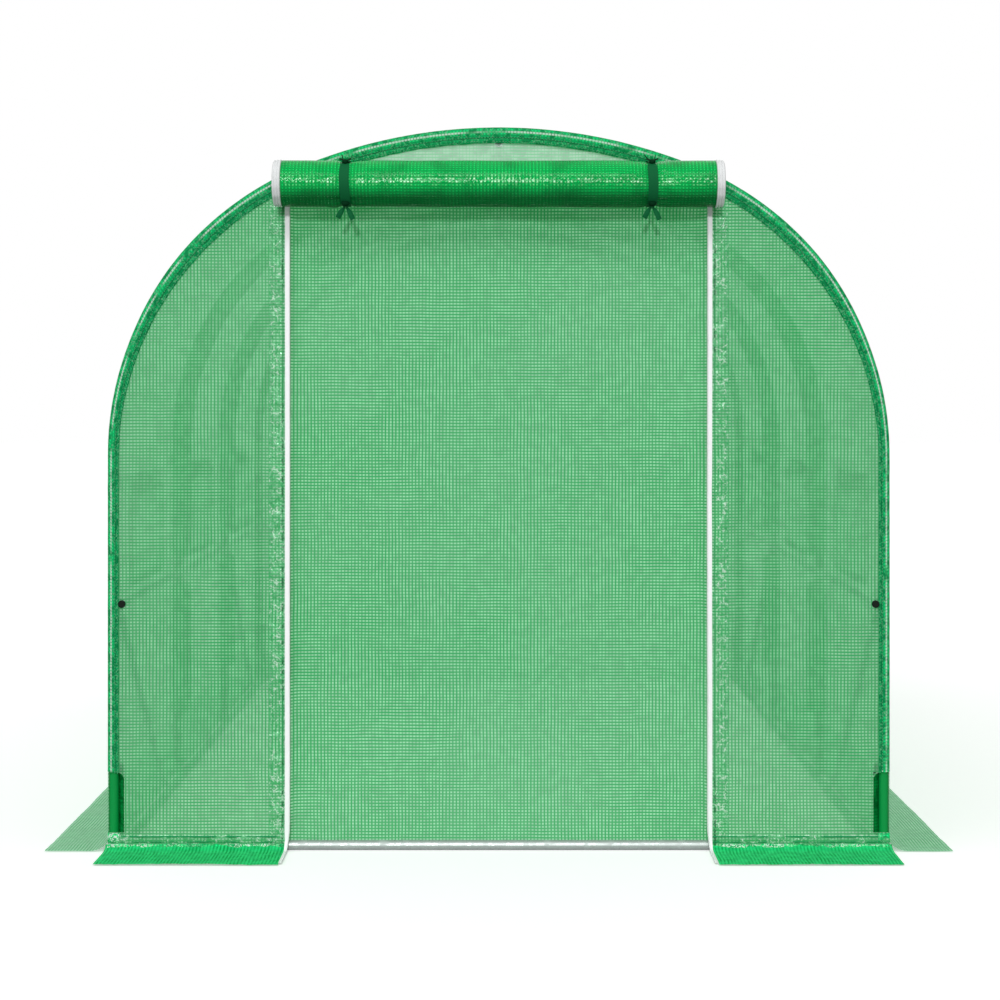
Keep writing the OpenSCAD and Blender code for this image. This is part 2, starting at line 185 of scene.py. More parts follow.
class Graph:
    """The node tree of a new material or world."""

    def __init__(self, owner):
        owner.use_nodes = True
        self.owner, self.tree = owner, owner.node_tree
        self.tree.nodes.clear()

    def node(self, kind, settings=None, sockets=None):
        made = self.tree.nodes.new(kind)
        for key, value in (settings or {}).items():
            setattr(made, key, value)
        for key, value in (sockets or {}).items():
            if isinstance(value, Value):
                self.tree.links.new(value.socket, made.inputs[key])
            else:
                made.inputs[key].default_value = value
        return Outputs(self, made)

    def uv(self):
        split = self.node("ShaderNodeSeparateXYZ", {}, {0: self.node("ShaderNodeTexCoord")["UV"]})
        return split["X"], split["Y"]

    def noise(self, scale, detail=2.0):
        where = self.node("ShaderNodeTexCoord")["Object"]
        sockets = {"Vector": where, "Scale": scale, "Detail": detail}
        return self.node("ShaderNodeTexNoise", {}, sockets)["Fac"]

    def mix(self, factor, a, b):
        """A colour between a and b."""
        made = self.tree.nodes.new("ShaderNodeMix")
        made.data_type = "RGBA"
        by_name = {s.identifier: s for s in made.inputs}
        for key, value in (("Factor_Float", factor), ("A_Color", a), ("B_Color", b)):
            if isinstance(value, Value):
                self.tree.links.new(value.socket, by_name[key])
            elif key == "Factor_Float":
                by_name[key].default_value = value
            else:
                by_name[key].default_value = (*value, 1.0)
        return Value(self, next(s for s in made.outputs if s.identifier == "Result_Color"))

    def bump(self, height, strength, distance):
        sockets = {"Height": height, "Strength": strength, "Distance": distance}
        return self.node("ShaderNodeBump", {}, sockets)["Normal"]

    def surface(self, sockets):
        return self.node("ShaderNodeBsdfPrincipled", {}, sockets)[0]

    def lit_from_behind(self, share, surface, sockets):
        """The surface with this share of its light coming through from its other side."""
        glow = self.node("ShaderNodeBsdfTranslucent", {}, sockets)[0]
        return self.node("ShaderNodeMixShader", {}, {0: share, 1: surface, 2: glow})[0]

    def finish(self, shader):
        kind = "World" if isinstance(self.owner, bpy.types.World) else "Material"
        self.node(f"ShaderNodeOutput{kind}", {}, {"Surface": shader})
        return self.owner


def shade(colour_value, amount):
    return tuple(min(1.0, c * amount) for c in colour_value)


def new_material(name):
    return Graph(bpy.data.materials.new(name))


def sheen(level):
    """Sheet reflects little of the room, so that its colour stays deep and the lamps still glint."""
    return {"IOR": 1.5, "Specular IOR Level": level, "Specular Tint": (0.65, 1.0, 0.78, 1.0)}


# How far the threads of a sheet stray, in metres, and the scale of the noise that they follow
TAUT_WANDER = (0.0042, 9.0)
LOOSE_WANDER = (0.0065, 17.0)


def weave(g, sizes, across_share, up_share, wander=TAUT_WANDER):
    """1 on the threads and 0 between them, with patches where one set of threads is fainter.

    The UV map is in metres. The shares are the parts of a pitch that the threads take up.
    """
    u, v = g.uv()
    reach, scale = wander
    stray = (g.noise(scale, 2.0) - 0.5) * reach
    across = abs(((u + stray) / sizes.thread_across).fract() - 0.5)
    up = abs(((v - stray) / sizes.thread_up).fract() - 0.5)
    upright = 1.0 - across.step(across_share * 0.34, across_share * 0.66)
    level = 1.0 - up.step(up_share * 0.34, up_share * 0.66)
    drift = g.noise(5.5, 3.0)
    faintest = 0.32
    fade_upright = drift.step(0.42, 0.66) * faintest
    fade_level = (1.0 - drift.step(0.34, 0.58)) * faintest
    return (upright * (1.0 - fade_upright)).either(level * (1.0 - fade_level))


def creased(g, folds, tinted, thread, glint_white):
    """The colour with dark flecks, and painted highlights: pale crests where the folds turn."""
    ridge = g.noise(110.0, 2.0)
    flecked = g.mix(ridge.step(0.34, 0.44) * 0.8 + 0.2, thread, tinted)
    turned = 1.0 - abs(folds - 0.5).step(0.0, 0.036)
    return g.mix(turned * ridge.step(0.46, 0.58) * 0.9, flecked, glint_white)


def sewn_beside(g, tinted, thread, place):
    """The colour with a broken dark seam at this distance from the middle, on the UV map's U."""
    beside = 1.0 - abs(abs(g.uv()[0]) - place).step(0.0018, 0.0042)
    broken = g.noise(75.0, 2.0).step(0.47, 0.55)
    return g.mix(beside * broken * 0.85, tinted, shade(thread, 0.35))


def woven(
    name, sizes, film, thread, clear, through, gloss=0.30, crinkle=0.35,
    shares=(0.47, 0.47), level=0.14, glint_white=None, faded=0.0, sewn_at=None,
):
    """Thin film on a grid of threads.

    clear is how far one sees through the film and through the threads, and through is the share of its light
    that comes from behind. faded is how far loose threads fade in patches.
    """
    g = new_material(name)
    threads = weave(g, sizes, *shares, LOOSE_WANDER if faded else TAUT_WANDER)
    if faded:
        threads = threads * (1.0 - g.noise(34.0, 3.0).step(0.42, 0.60) * faded)
    haze = g.noise(2.3, 3.0)
    folds = g.noise(44.0, 3.0)
    squares = g.mix(folds.step(0.38, 0.66), film, shade(film, 0.80))
    tinted = g.mix((haze - 0.35) * 0.4, g.mix(threads, squares, thread), shade(film, 0.72))
    # Painted highlights on the crests of the folds
    if glint_white:
        tinted = creased(g, folds, tinted, thread, glint_white)
    if sewn_at:
        tinted = sewn_beside(g, tinted, thread, sewn_at)
    skin = {"Normal": g.bump(folds, min(1.0, 0.3 + 0.4 * crinkle), 0.0022 * crinkle)} if crinkle else {}
    surface = g.surface({
        "Base Color": tinted,
        "Roughness": threads * 0.18 + (gloss - 0.02),
        "Alpha": threads * (clear[0] - clear[1]) + (1.0 - clear[0]),
        **skin,
        **sheen(level),
    })
    return g.finish(g.lit_from_behind(through, surface, {"Color": tinted, **skin}))


def crinkled(name, sizes, base, pale, glint_share, crinkle, scale, spread=0.10, seams=None):
    """Doubled sheet, drawn up by its sewing: glossy, with small sharp creases and a trace of the threads.

    seams are the places of two seams on the UV map's V: inside the inner one shade is painted dark in the
    gathers, and along the outer one highlights are painted white, a bead to each square of the weave. spread
    is how wide the painted highlights on the crests are, and glint_share how pale.
    """
    g = new_material(name)
    threads = weave(g, sizes, 0.5, 0.5)
    coarse = g.noise(scale, 3.0)
    fine = g.noise(scale * 3.1, 2.0)
    creases = abs(coarse - 0.5) * 2.0
    # The crests of the creases, where highlights are painted pale
    crests = (1.0 - creases.step(0.0, spread)) * fine.step(0.44, 0.60)
    toned = g.mix(threads * 0.7, shade(base, 1.5), shade(base, 0.60))
    # Painted shade among the creases: broad patches of the sheet are darker
    tinted = g.mix(coarse.step(0.35, 0.62), shade(base, 0.55), toned)
    if seams is None:
        tinted = g.mix(crests * glint_share * g.noise(9.0, 2.0).step(0.30, 0.55), tinted, pale)
    else:
        u, v = g.uv()
        inner, outer = seams
        inside = 1.0 - v.step(inner - 0.002, inner + 0.003)
        sewn = 1.0 - abs(v - inner).step(0.0008, 0.0026)
        beads = abs((u / sizes.thread_up).fract() - 0.5).step(0.03, 0.16)
        drawn = (1.0 - abs(v - outer).step(0.0008, 0.0026)) * beads
        drawn = drawn * g.noise(12.0, 2.0).step(0.30, 0.54)
        # Painted shade in the gathers inside the inner seam, then painted highlights on the crests and along
        # the outer seam
        tinted = g.mix(inside * coarse.step(0.46, 0.56) * 0.8, tinted, shade(base, 0.32))
        tinted = g.mix((crests * glint_share).either(drawn * 0.65), tinted, pale)
        tinted = g.mix(sewn * 0.7, tinted, shade(base, 0.24))
    normal = g.bump(creases * crinkle + threads * 0.16, 0.8, 0.004)
    surface = g.surface({
        "Base Color": tinted,
        "Roughness": fine * 0.22 + 0.12,
        "Normal": normal,
        **sheen(0.03),
    })
    return g.finish(g.lit_from_behind(0.2, surface, {"Color": tinted, "Normal": normal}))


def rolled(name, sizes, base, tight, lap):
    """Many layers of the sheet in a deep colour.

    tight is where the sheet is drawn tight and glossy, and lap is where the sheet laps under the roll and a
    dark band of painted shade lies, on the UV map's V.
    """
    g = new_material(name)
    threads = weave(g, sizes, 0.48, 0.48)
    _, v = g.uv()
    soft = g.noise(16.0, 3.0)
    fine = g.noise(160.0, 2.0)
    toned = g.mix(threads, shade(base, 1.5), shade(base, 0.72))
    streaked = g.mix(soft.step(0.42, 0.72) * 0.5, toned, shade(base, 0.42))
    # Painted shade: a dark band where the wound sheet turns under the roll
    painted_lap_shade = (v + soft * 0.012).step(lap[0], lap[0] + 0.030) * (1.0 - v.step(lap[1] - 0.006, lap[1]))
    tinted = g.mix(painted_lap_shade * 0.72, streaked, shade(base, 0.20))
    drawn = v.step(tight[0], tight[0] + 0.022) * (1.0 - v.step(tight[1] - 0.018, tight[1]))
    return g.finish(g.surface({
        "Base Color": tinted,
        "Roughness": fine * 0.12 + 0.07,
        "Coat Weight": drawn * (1.0 - threads) * fine.step(0.45, 0.62),
        "Coat Roughness": 0.34,
        "Coat IOR": 2.0,
        "Normal": g.bump(threads * 1.3 + soft * 0.6 + fine * 0.25, 0.9, 0.0026),
        **sheen(0.09),
    }))


def tape(name, base, pitch, level):
    """Woven tape or ribbon with fine cross ribs. The UV map's V runs along it, in metres."""
    g = new_material(name)
    u, v = g.uv()
    ribs = abs((v / pitch).fract() - 0.5) * 2.0
    lines = abs((u / (pitch * 1.6)).fract() - 0.5) * 2.0
    dust = g.noise(60.0, 3.0)
    weft = ribs * 0.6 + lines * 0.4
    tinted = g.mix(weft * 0.30 + dust * 0.25, base, shade(base, 0.82))
    return g.finish(g.surface({
        "Base Color": tinted,
        "Roughness": weft * 0.2 + 0.55,
        "Normal": g.bump(weft, 0.5, 0.0006),
        "Specular IOR Level": level,
    }))


def plastic(name, base, rough, grain, level=0.25):
    """Moulded or drawn plastic with a fine uneven surface."""
    g = new_material(name)
    cloud = g.noise(14.0, 3.0)
    fine = g.noise(grain, 2.0)
    tinted = g.mix(cloud * 0.5, base, shade(base, 0.70))
    return g.finish(g.surface({
        "Base Color": tinted,
        "Roughness": fine * 0.15 + rough,
        "Normal": g.bump(fine, 0.2, 0.0004),
        "Specular IOR Level": level,
    }))


def galvanised(name, base):
    """Zinc-coated steel: dull metal with spangle patches and white bloom."""
    g = new_material(name)
    where = g.node("ShaderNodeTexCoord")["Object"]
    cells = g.node("ShaderNodeTexVoronoi", {}, {"Vector": where, "Scale": 95.0})["Color"]
    patch = g.node("ShaderNodeSeparateColor", {}, {0: cells})[0]
    bloom = g.noise(22.0, 4.0).step(0.52, 0.72)
    streak = g.noise(240.0, 2.0)
    toned = g.mix(patch * 0.45, base, shade(base, 0.70))
    tinted = g.mix(bloom * 0.5, toned, shade(base, 1.25))
    return g.finish(g.surface({
        "Base Color": tinted,
        "Metallic": 0.28 - bloom * 0.15,
        "Roughness": patch * 0.12 + bloom * 0.20 + 0.24,
        "Normal": g.bump(streak, 0.12, 0.0005),
    }))


def seen_directly(g):
    """1 for what is seen, also in reflections and through the sheet, and 0 for the light on the object."""
    path = g.node("ShaderNodeLightPath")
    return path["Is Camera Ray"].either(path["Is Glossy Ray"]).either(path["Is Transmission Ray"])


def studio(name, base):
    """A white floor that keeps shadows, with a duller bounce of light onto the object."""
    g = new_material(name)
    seen = seen_directly(g)
    cloud = g.noise(0.8, 2.0)
    tinted = g.mix(seen, shade(base, 0.33), g.mix(cloud * 0.3, base, shade(base, 0.985)))
    return g.finish(g.surface({
        "Base Color": tinted,
        "Roughness": cloud * 0.1 + 0.75,
        "Specular IOR Level": 0.0,
        "Emission Color": g.mix(seen, (0.0, 0.0, 0.0), (1.0, 1.0, 1.0)),
        "Emission Strength": 0.26,
    }))


class Finishes:
    """Every material, made once when it is first asked for."""

    made = {}

    @classmethod
    def get(cls, key):
        if key not in cls.made:
            cls.made[key] = cls.build(key)
        return cls.made[key]

    @staticmethod
    def build(key):
        scene = bpy.context.scene
        s, c = scene.tunnel_sizes, scene.tunnel_colours
        makers = {
            "cover": lambda: woven("cover_sheet", s, c.film, c.thread, (0.45, 0.08), 0.46, crinkle=0.0),
            "panel": lambda: woven("panel_sheet", s, c.film, shade(c.thread, 0.92), (0.50, 0.11), 0.42),
            # The gable's sheet in its painted lighter colours
            "gable": lambda: woven(
                "gable_sheet", s, c.gable, c.pale_thread, (0.35, 0.10), 0.5, shares=(0.12, 0.42)
            ),
            "net": lambda: woven(
                "door_net", s, c.film, c.thread, (0.20, 0.03), 0.42, gloss=0.42, crinkle=0.15
            ),
            "skirt": lambda: woven(
                "skirt_sheet", s, shade(c.film, 1.06), shade(c.thread, 0.92), (0.30, 0.08), 0.30
            ),
            "apron": lambda: woven(
                "apron_sheet", s, c.apron, c.apron_thread, (0.05, 0.02), 0.15, gloss=0.2, crinkle=0.6,
                shares=(0.46, 0.05), level=0.0, faded=0.55,
            ),
            "hem": lambda: woven(
                "hem_sheet", s, c.film, c.thread, (0.30, 0.06), 0.35, gloss=0.14, crinkle=2.4, level=0.40,
                glint_white=c.glint_white, sewn_at=s.door_half + s.zip_width / 2 + 0.006,
            ),
            # Bands, sleeves, ruffles and pockets carry painted highlights on their crests, the ruffles most
            "band": lambda: crinkled(
                "edge_band", s, shade(c.band, 1.15), c.glint_white, 0.16, 0.6, 70.0, seams=(-0.0085, 0.0045)
            ),
            "sleeve": lambda: crinkled("hoop_sleeve", s, shade(c.band, 1.4), c.glint_white, 0.1, 0.4, 40.0),
            "ruffle": lambda: crinkled("ruffled_edge", s, shade(c.band, 1.5), c.glint_white, 0.95, 1.0, 90.0, 0.70),
            # The leg pocket is the rolled sheet's colour painted much darker: painted shade inside the corner
            # slot
            "pocket": lambda: crinkled("leg_pocket", s, shade(c.roll, 0.42), c.roll, 0.3, 0.5, 40.0),
            # The second span on V is the painted shade under the roll
            "roll": lambda: rolled("rolled_sheet", s, c.roll, (0.158, 0.204), (0.200, 0.285)),
            "seam": lambda: tape("sewn_seam", c.seam, 0.0040, 0.1),
            "tape": lambda: tape("zip_tape", c.tape, 0.0012, 0.2),
            # The roll's end tape is the zip tape painted greyer: painted shade on the wound ends
            "roll_end": lambda: tape("roll_end_tape", shade(c.tape, 0.80), 0.0030, 0.2),
            "coil": lambda: plastic("zip_coil", c.tape, 0.35, 300.0),
            "ribbon": lambda: tape("tie_ribbon", c.ribbon, 0.0014, 0.06),
            # The knots are the ribbon painted much darker: painted shade on the knots
            "knot": lambda: tape("tie_knot", shade(c.ribbon, 0.25), 0.0014, 0.04),
            "stitch": lambda: plastic("sewing_thread", c.stitch, 0.5, 500.0),
            "coated": lambda: plastic("coated_tube", c.coated, 0.24, 120.0, 0.12),
            "zinc": lambda: galvanised("galvanised_tube", c.zinc),
            "cap": lambda: plastic("black_cap", c.cap, 0.42, 200.0, 0.06),
            "floor": lambda: studio("studio_floor", c.floor),
        }
        return makers[key]()


# Shapes


def smooth(t):
    t = np.clip(t, 0.0, 1.0)
    return t * t * (3.0 - 2.0 * t)


def lattice(ix, iy, seed):
    h = (ix.astype(np.int64) * 374761393 + iy.astype(np.int64) * 668265263 + seed * 982451653) & 0xFFFFFFFF
    h = ((h ^ (h >> 13)) * 1274126177) & 0xFFFFFFFF
    return ((h ^ (h >> 16)) & 0xFFFFFF) / float(0xFFFFFF) * 2.0 - 1.0


def wave(x, y, seed):
    """Smooth noise from -1 to 1, with features about one unit across."""
    x, y = np.broadcast_arrays(np.asarray(x, float), np.asarray(y, float))
    ix, iy = np.floor(x), np.floor(y)
    fx, fy = smooth(x - ix), smooth(y - iy)
    low = lattice(ix, iy, seed) * (1 - fx) + lattice(ix + 1, iy, seed) * fx
    high = lattice(ix, iy + 1, seed) * (1 - fx) + lattice(ix + 1, iy + 1, seed) * fx
    return low * (1 - fy) + high * fy


def waves(x, y, seed, octaves=3):
    total = sum(wave(x * 2**k, y * 2**k, seed + k) / 2**k for k in range(octaves))
    return total / sum(1 / 2**k for k in range(octaves))


def marks(low, high, step, *wanted):
    """Evenly spaced values from low to high that also hit each wanted value."""
    fixed = sorted({low, high, *(w for w in wanted if low < w < high)})
    out = [low]
    for a, b in zip(fixed, fixed[1:]):
        count = max(1, round((b - a) / step))
        out += [a + (b - a) * (k + 1) / count for k in range(count)]
    return np.array(out)


class Arch:
    """The three-centred arch of the hoops, followed from the left foot over the crown to the right foot."""

    def __init__(self, sizes):
        self.a, self.leg = sizes.half_span, sizes.leg_height
        self.r, self.R = sizes.shoulder_radius, sizes.crown_radius
        self.sx = self.a - self.r
        self.crown_a = math.asin(self.sx / (self.R - self.r))
        self.cz = self.leg - (self.R - self.r) * math.cos(self.crown_a)

    def length(self, off):
        return 2 * (self.leg + (self.r + off) * (math.pi / 2 - self.crown_a) + (self.R + off) * self.crown_a)

    def at(self, s, off):
        """x, z and the outward direction at the length s along the arch grown by off."""
        s, off = np.broadcast_arrays(np.asarray(s, float), np.asarray(off, float))
        half = self.length(off) / 2
        side = np.where(s <= half, -1.0, 1.0)
        t = half - abs(s - half)
        bend = (self.r + off) * (math.pi / 2 - self.crown_a)
        turn = np.clip((t - self.leg) / (self.r + off), 0.0, math.pi / 2 - self.crown_a)
        over = np.clip((t - self.leg - bend) / (self.R + off), 0.0, None)
        phi = turn + over
        on_crown = t > self.leg + bend
        x = np.where(on_crown, (self.R + off) * np.cos(phi), self.sx + (self.r + off) * np.cos(phi))
        crown = self.cz + (self.R + off) * np.sin(phi)
        shoulder = self.leg + (self.r + off) * np.sin(phi)
        z = np.where(t < self.leg, t, np.where(on_crown, crown, shoulder))
        return side * x, z, side * np.cos(phi), np.sin(phi)

    def half_width(self, z, off):
        z = np.asarray(z, float)
        tangent = self.leg + (self.r + off) * math.cos(self.crown_a)
        shoulder = self.sx + np.sqrt(np.clip((self.r + off) ** 2 - (z - self.leg) ** 2, 0, None))
        crown = np.sqrt(np.clip((self.R + off) ** 2 - (z - self.cz) ** 2, 0, None))
        return np.where(z <= self.leg, self.a + off, np.where(z <= tangent, shoulder, crown))

    def height(self, x, off):
        x = abs(np.asarray(x, float))
        crown = self.cz + np.sqrt(np.clip((self.R + off) ** 2 - x**2, 0, None))
        shoulder = self.leg + np.sqrt(np.clip((self.r + off) ** 2 - (x - self.sx) ** 2, 0, None))
        return np.where(x <= (self.R + off) * math.sin(self.crown_a), crown, shoulder)


class Patch:
    """A grid of points with its UV map, and which of its cells are kept."""

    def __init__(self, points, uv, keep=None, flip=False):
        self.points = np.stack(np.broadcast_arrays(*points), axis=-1).astype(float)
        self.uv = np.stack(np.broadcast_arrays(*uv), axis=-1).astype(float)
        nu, nv = self.points.shape[:2]
        self.keep = np.ones((nu - 1, nv - 1), bool) if keep is None else keep
        self.flip = flip

    def faces(self, start):
        nv = self.points.shape[1]
        i, j = np.nonzero(self.keep)
        a = i * nv + j
        quads = np.stack([a, a + nv, a + nv + 1, a + 1], axis=1) + start
        return quads[:, ::-1] if self.flip else quads


def sheet_object(name, patches, material, weld=1e-5):
    """One object from patches whose meeting edges are welded."""
    points = np.concatenate([p.points.reshape(-1, 3) for p in patches])
    uvs = np.concatenate([p.uv.reshape(-1, 2) for p in patches])
    starts = np.cumsum([0] + [p.points.shape[0] * p.points.shape[1] for p in patches])
    quads = np.concatenate([p.faces(start) for p, start in zip(patches, starts)])
    keys = np.round(points / weld).astype(np.int64)
    _, first, back = np.unique(keys, axis=0, return_index=True, return_inverse=True)
    back = back.reshape(-1)
    faces, corners = [], []
    for quad in quads:
        ring = [(int(back[q]), int(q)) for q in quad]
        kept = [ring[k] for k in range(4) if ring[k][0] != ring[k - 1][0]]
        if len(kept) >= 3 and len({k[0] for k in kept}) == len(kept):
            faces.append([k[0] for k in kept])
            corners += [k[1] for k in kept]
    used = np.unique(np.concatenate([np.array(f) for f in faces]))
    place = np.full(len(first), -1)
    place[used] = np.arange(len(used))
    mesh = bpy.data.meshes.new(name)
    mesh.from_pydata(points[first][used].tolist(), [], [[int(place[v]) for v in f] for f in faces])
    layer = mesh.uv_layers.new(name="UVMap")
    layer.data.foreach_set("uv", uvs[corners].astype(np.float32).ravel())
    mesh.polygons.foreach_set("use_smooth", np.ones(len(mesh.polygons), bool))
    mesh.materials.append(material)
    mesh.update()
    obj = bpy.data.objects.new(name, mesh)
    bpy.context.scene.collection.objects.link(obj)
    return obj


def settle(obj, slot, *nodes):
    """The finished piece rides with the frame and stands for these CAD nodes, which it hides. slot is not
    used.
    """
    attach(obj, "root")
    if nodes:
        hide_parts(*nodes)
    return obj


def sheet_piece(name, patches, finish, slot, *nodes):
    """A finished piece of sheet, tape or ribbon in its place."""
    return settle(sheet_object(name, patches, Finishes.get(finish)), slot, *nodes)


def area_of(obj):
    return sum(p.area for p in obj.data.polygons)


def sewn_strips(obj, width):
    """Works out the length of strips of one width, cut straight, that are sewn or tied to other pieces, and
    keeps nothing.
    """
    area_of(obj) / width


def node_box(name):
    low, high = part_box(name)
    return np.array(low), np.array(high)


def hoop_y():
    return [float(sum(b[1] for b in node_box(f"{h}_hoop_legs")) / 2) for h in HOOPS]


def bay_middles():
    ys = hoop_y()
    return [(a + b) / 2 for a, b in zip(ys, ys[1:])]


def lengths_along(path):
    """The length of a path up to each of its points."""
    steps = np.linalg.norm(np.diff(path, axis=0), axis=1)
    return np.concatenate([[0.0], np.cumsum(steps)])


def hole_marks(centre, radius):
    return [centre + k * radius for k in (-1, -0.5, 0, 0.5, 1)]


def punch(patch, centre, radius):
    """Cuts a round hole in an upright patch, and closes the cells round it up to the circle."""
    axes = (0, 2)
    flat = patch.points[..., axes] - np.array(centre)
    cells = (flat[:-1, :-1] + flat[1:, :-1] + flat[:-1, 1:] + flat[1:, 1:]) / 4
    gone = np.hypot(cells[..., 0], cells[..., 1]) < radius * 0.9
    patch.keep &= ~gone
    touched = np.zeros(patch.points.shape[:2], bool)
    for di in (0, 1):
        for dj in (0, 1):
            touched[di : di + gone.shape[0], dj : dj + gone.shape[1]] |= gone
    far = np.hypot(flat[..., 0], flat[..., 1])
    scale = np.where(touched, radius / np.maximum(far, 1e-6), 1.0)
    for k, axis in enumerate(axes):
        patch.points[..., axis] = np.where(touched, centre[k] + flat[..., k] * scale, patch.points[..., axis])


# Repeated details


def repeat_tree(name, sides):
    """A node tree that sets small rods along lines. Rods point along their line."""
    tree = bpy.data.node_groups.new(name, "GeometryNodeTree")
    face = tree.interface
    face.new_socket("Geometry", in_out="INPUT", socket_type="NodeSocketGeometry")
    for label in ("Pitch", "Rod Length", "Rod Radius"):
        face.new_socket(label, in_out="INPUT", socket_type="NodeSocketFloat")
    face.new_socket("Material", in_out="INPUT", socket_type="NodeSocketMaterial")
    face.new_socket("Geometry", in_out="OUTPUT", socket_type="NodeSocketGeometry")

    def node(kind, settings=None):
        made = tree.nodes.new(kind)
        for key, value in (settings or {}).items():
            setattr(made, key, value)
        return made

    into, out = node("NodeGroupInput"), node("NodeGroupOutput")
    curve = node("GeometryNodeMeshToCurve")
    points = node("GeometryNodeCurveToPoints", {"mode": "LENGTH"})
    rod = node("GeometryNodeMeshCylinder")
    rod.inputs["Vertices"].default_value = sides
    place = node("GeometryNodeInstanceOnPoints")
    turn = node("FunctionNodeAlignRotationToVector", {"axis": "Z"})
    real = node("GeometryNodeRealizeInstances")
    paint = node("GeometryNodeSetMaterial")
    links = [
        (into.outputs["Geometry"], curve.inputs["Mesh"]),
        (curve.outputs["Curve"], points.inputs["Curve"]),
        (into.outputs["Pitch"], points.inputs["Length"]),
        (points.outputs["Points"], place.inputs["Points"]),
        (points.outputs["Tangent"], turn.inputs["Vector"]),
        (turn.outputs["Rotation"], place.inputs["Rotation"]),
        (into.outputs["Rod Length"], rod.inputs["Depth"]),
        (into.outputs["Rod Radius"], rod.inputs["Radius"]),
        (rod.outputs["Mesh"], place.inputs["Instance"]),
        (place.outputs["Instances"], real.inputs["Geometry"]),
        (real.outputs["Geometry"], paint.inputs["Geometry"]),
        (into.outputs["Material"], paint.inputs["Material"]),
        (paint.outputs["Geometry"], out.inputs["Geometry"]),
    ]
    for a, b in links:
        tree.links.new(a, b)
    return tree


def rods_along(name, lines, pitch, rod_length, rod_radius, material, sides=6):
    """A plain mesh of small rods set along lines, such as stitches or a zip's coil."""
    points, edges = [], []
    for line in lines:
        start = len(points)
        points += [tuple(map(float, p)) for p in line]
        edges += [(k, k + 1) for k in range(start, len(points) - 1)]
    guide_mesh = bpy.data.meshes.new(name + "_guide")
    guide_mesh.from_pydata(points, edges, [])
    guide = bpy.data.objects.new(name + "_guide", guide_mesh)
    bpy.context.scene.collection.objects.link(guide)
    tree = repeat_tree(name + "_rods", sides)
    modifier = guide.modifiers.new("Rods", "NODES")
    modifier.node_group = tree
    wanted = {"Pitch": pitch, "Rod Length": rod_length, "Rod Radius": rod_radius, "Material": material}
    for item in tree.interface.items_tree:
        if item.in_out == "INPUT" and item.name in wanted:
            modifier[item.identifier] = wanted[item.name]
    graph = bpy.context.evaluated_depsgraph_get()
    mesh = bpy.data.meshes.new_from_object(guide.evaluated_get(graph), depsgraph=graph)
    mesh.name = name
    bpy.data.objects.remove(guide)
    bpy.data.meshes.remove(guide_mesh)
    if not mesh.polygons:
        raise RuntimeError(f"{name}: no rods were made")
    mesh.polygons.foreach_set("use_smooth", np.ones(len(mesh.polygons), bool))
    obj = bpy.data.objects.new(name, mesh)
    bpy.context.scene.collection.objects.link(obj)
    return obj


# End panels: the shape that panels, hems, zips and stitches share


# How far in from its edge and up from its foot an end panel is held flat, and how far it sags beyond that
EDGE_HOLD, FOOT_HOLD, PANEL_SAG = 0.20, 0.25, 0.0045


def panel_depth(sizes, arch, x, z, end):
    """How far an end panel's sheet lies from its flat plane, inwards positive."""
    x, z = np.broadcast_arrays(np.asarray(x, float), np.asarray(z, float))
    width = arch.half_width(z, sizes.cover_offset)
    to_edge = np.clip((width - abs(x)) / EDGE_HOLD, 0, 1)
    to_foot = np.clip((z - 0.03) / FOOT_HOLD, 0, 1)
    free = smooth(to_edge) * smooth(to_foot)
    slack = 0.004 * waves(x * 3.1, z * 2.3, 11 + end, 2) + 0.0016 * wave(x * 9, z * 6, 17 + end)
    pulls = 0.0009 * wave(x * 26, z * 7, 23) * smooth(1 - (width - abs(x)) / 0.12)
    return free * (PANEL_SAG + slack) + 0.0006 + np.clip(pulls, -0.0009, 0.0009)


def end_face(end):
    """The outer face of the end panels, on Y."""
    low, high = node_box("front_left_panel" if end == FRONT else "back_panel")
    return low[1] if end == FRONT else high[1]


def panel_y(sizes, arch, x, z, end):
    return end_face(end) - end * panel_depth(sizes, arch, x, z, end)


def band_share(z):
    """How wide an edge band is at a height, compared with its width over the crown."""
    at_legs = 0.62
    return at_legs + (1 - at_legs) * smooth((z - 0.9) / 0.75)


def end_rows(sizes, top, step):
    s = sizes
    slot = (s.slot_foot, s.slot_top - s.slot_round, s.slot_top)
    return marks(0.0, top, step, *slot, s.leg_height, *hole_marks(s.rail_z, s.cap_hole))


def slot_corner(sizes, arch, side, end):
    """The rounded corner of a slot: the bit of sheet between the slot's arc and its square corner."""
    r = sizes.slot_round
    inner = sizes.half_span + sizes.cover_offset - sizes.slot_width
    turn = np.linspace(0.0, math.pi / 2, 9)[:, None]
    pull = np.array([0.0, 1.0])[None, :]
    x = (inner + r - r * np.cos(turn)) * (1 - pull) + inner * pull
    z = (sizes.slot_top - r + r * np.sin(turn)) * (1 - pull) + sizes.slot_top * pull
    y = panel_y(sizes, arch, x, z, end)
    return Patch((side * x, y, z), (side * x, z), flip=(side == RIGHT) == (end == FRONT))


# Operators


class TUNNEL_OT_frame_finish(bpy.types.Operator):
    """Paint the tubes, rails and caps of the frame"""

    bl_idname = "tunnel.frame_finish"
    bl_label = "Finish frame"

    def execute(self, context):
        zinc = ["ridge_pole", "front_base_tube", "back_base_tube"]
        for side in ("left", "right"):
            zinc += [f"{side}_side_rail", f"{side}_base_rail", f"{side}_braces"]
        coated = [f"{hoop}_hoop_{part}" for hoop in HOOPS for part in ("legs", "bow")]
        for key, names in (("zinc", zinc), ("coated", coated), ("cap", ["rail_end_caps"])):
            for name in names:
                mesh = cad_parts[name].data
                mesh.materials.clear()
                mesh.materials.append(Finishes.get(key))
        return {"FINISHED"}


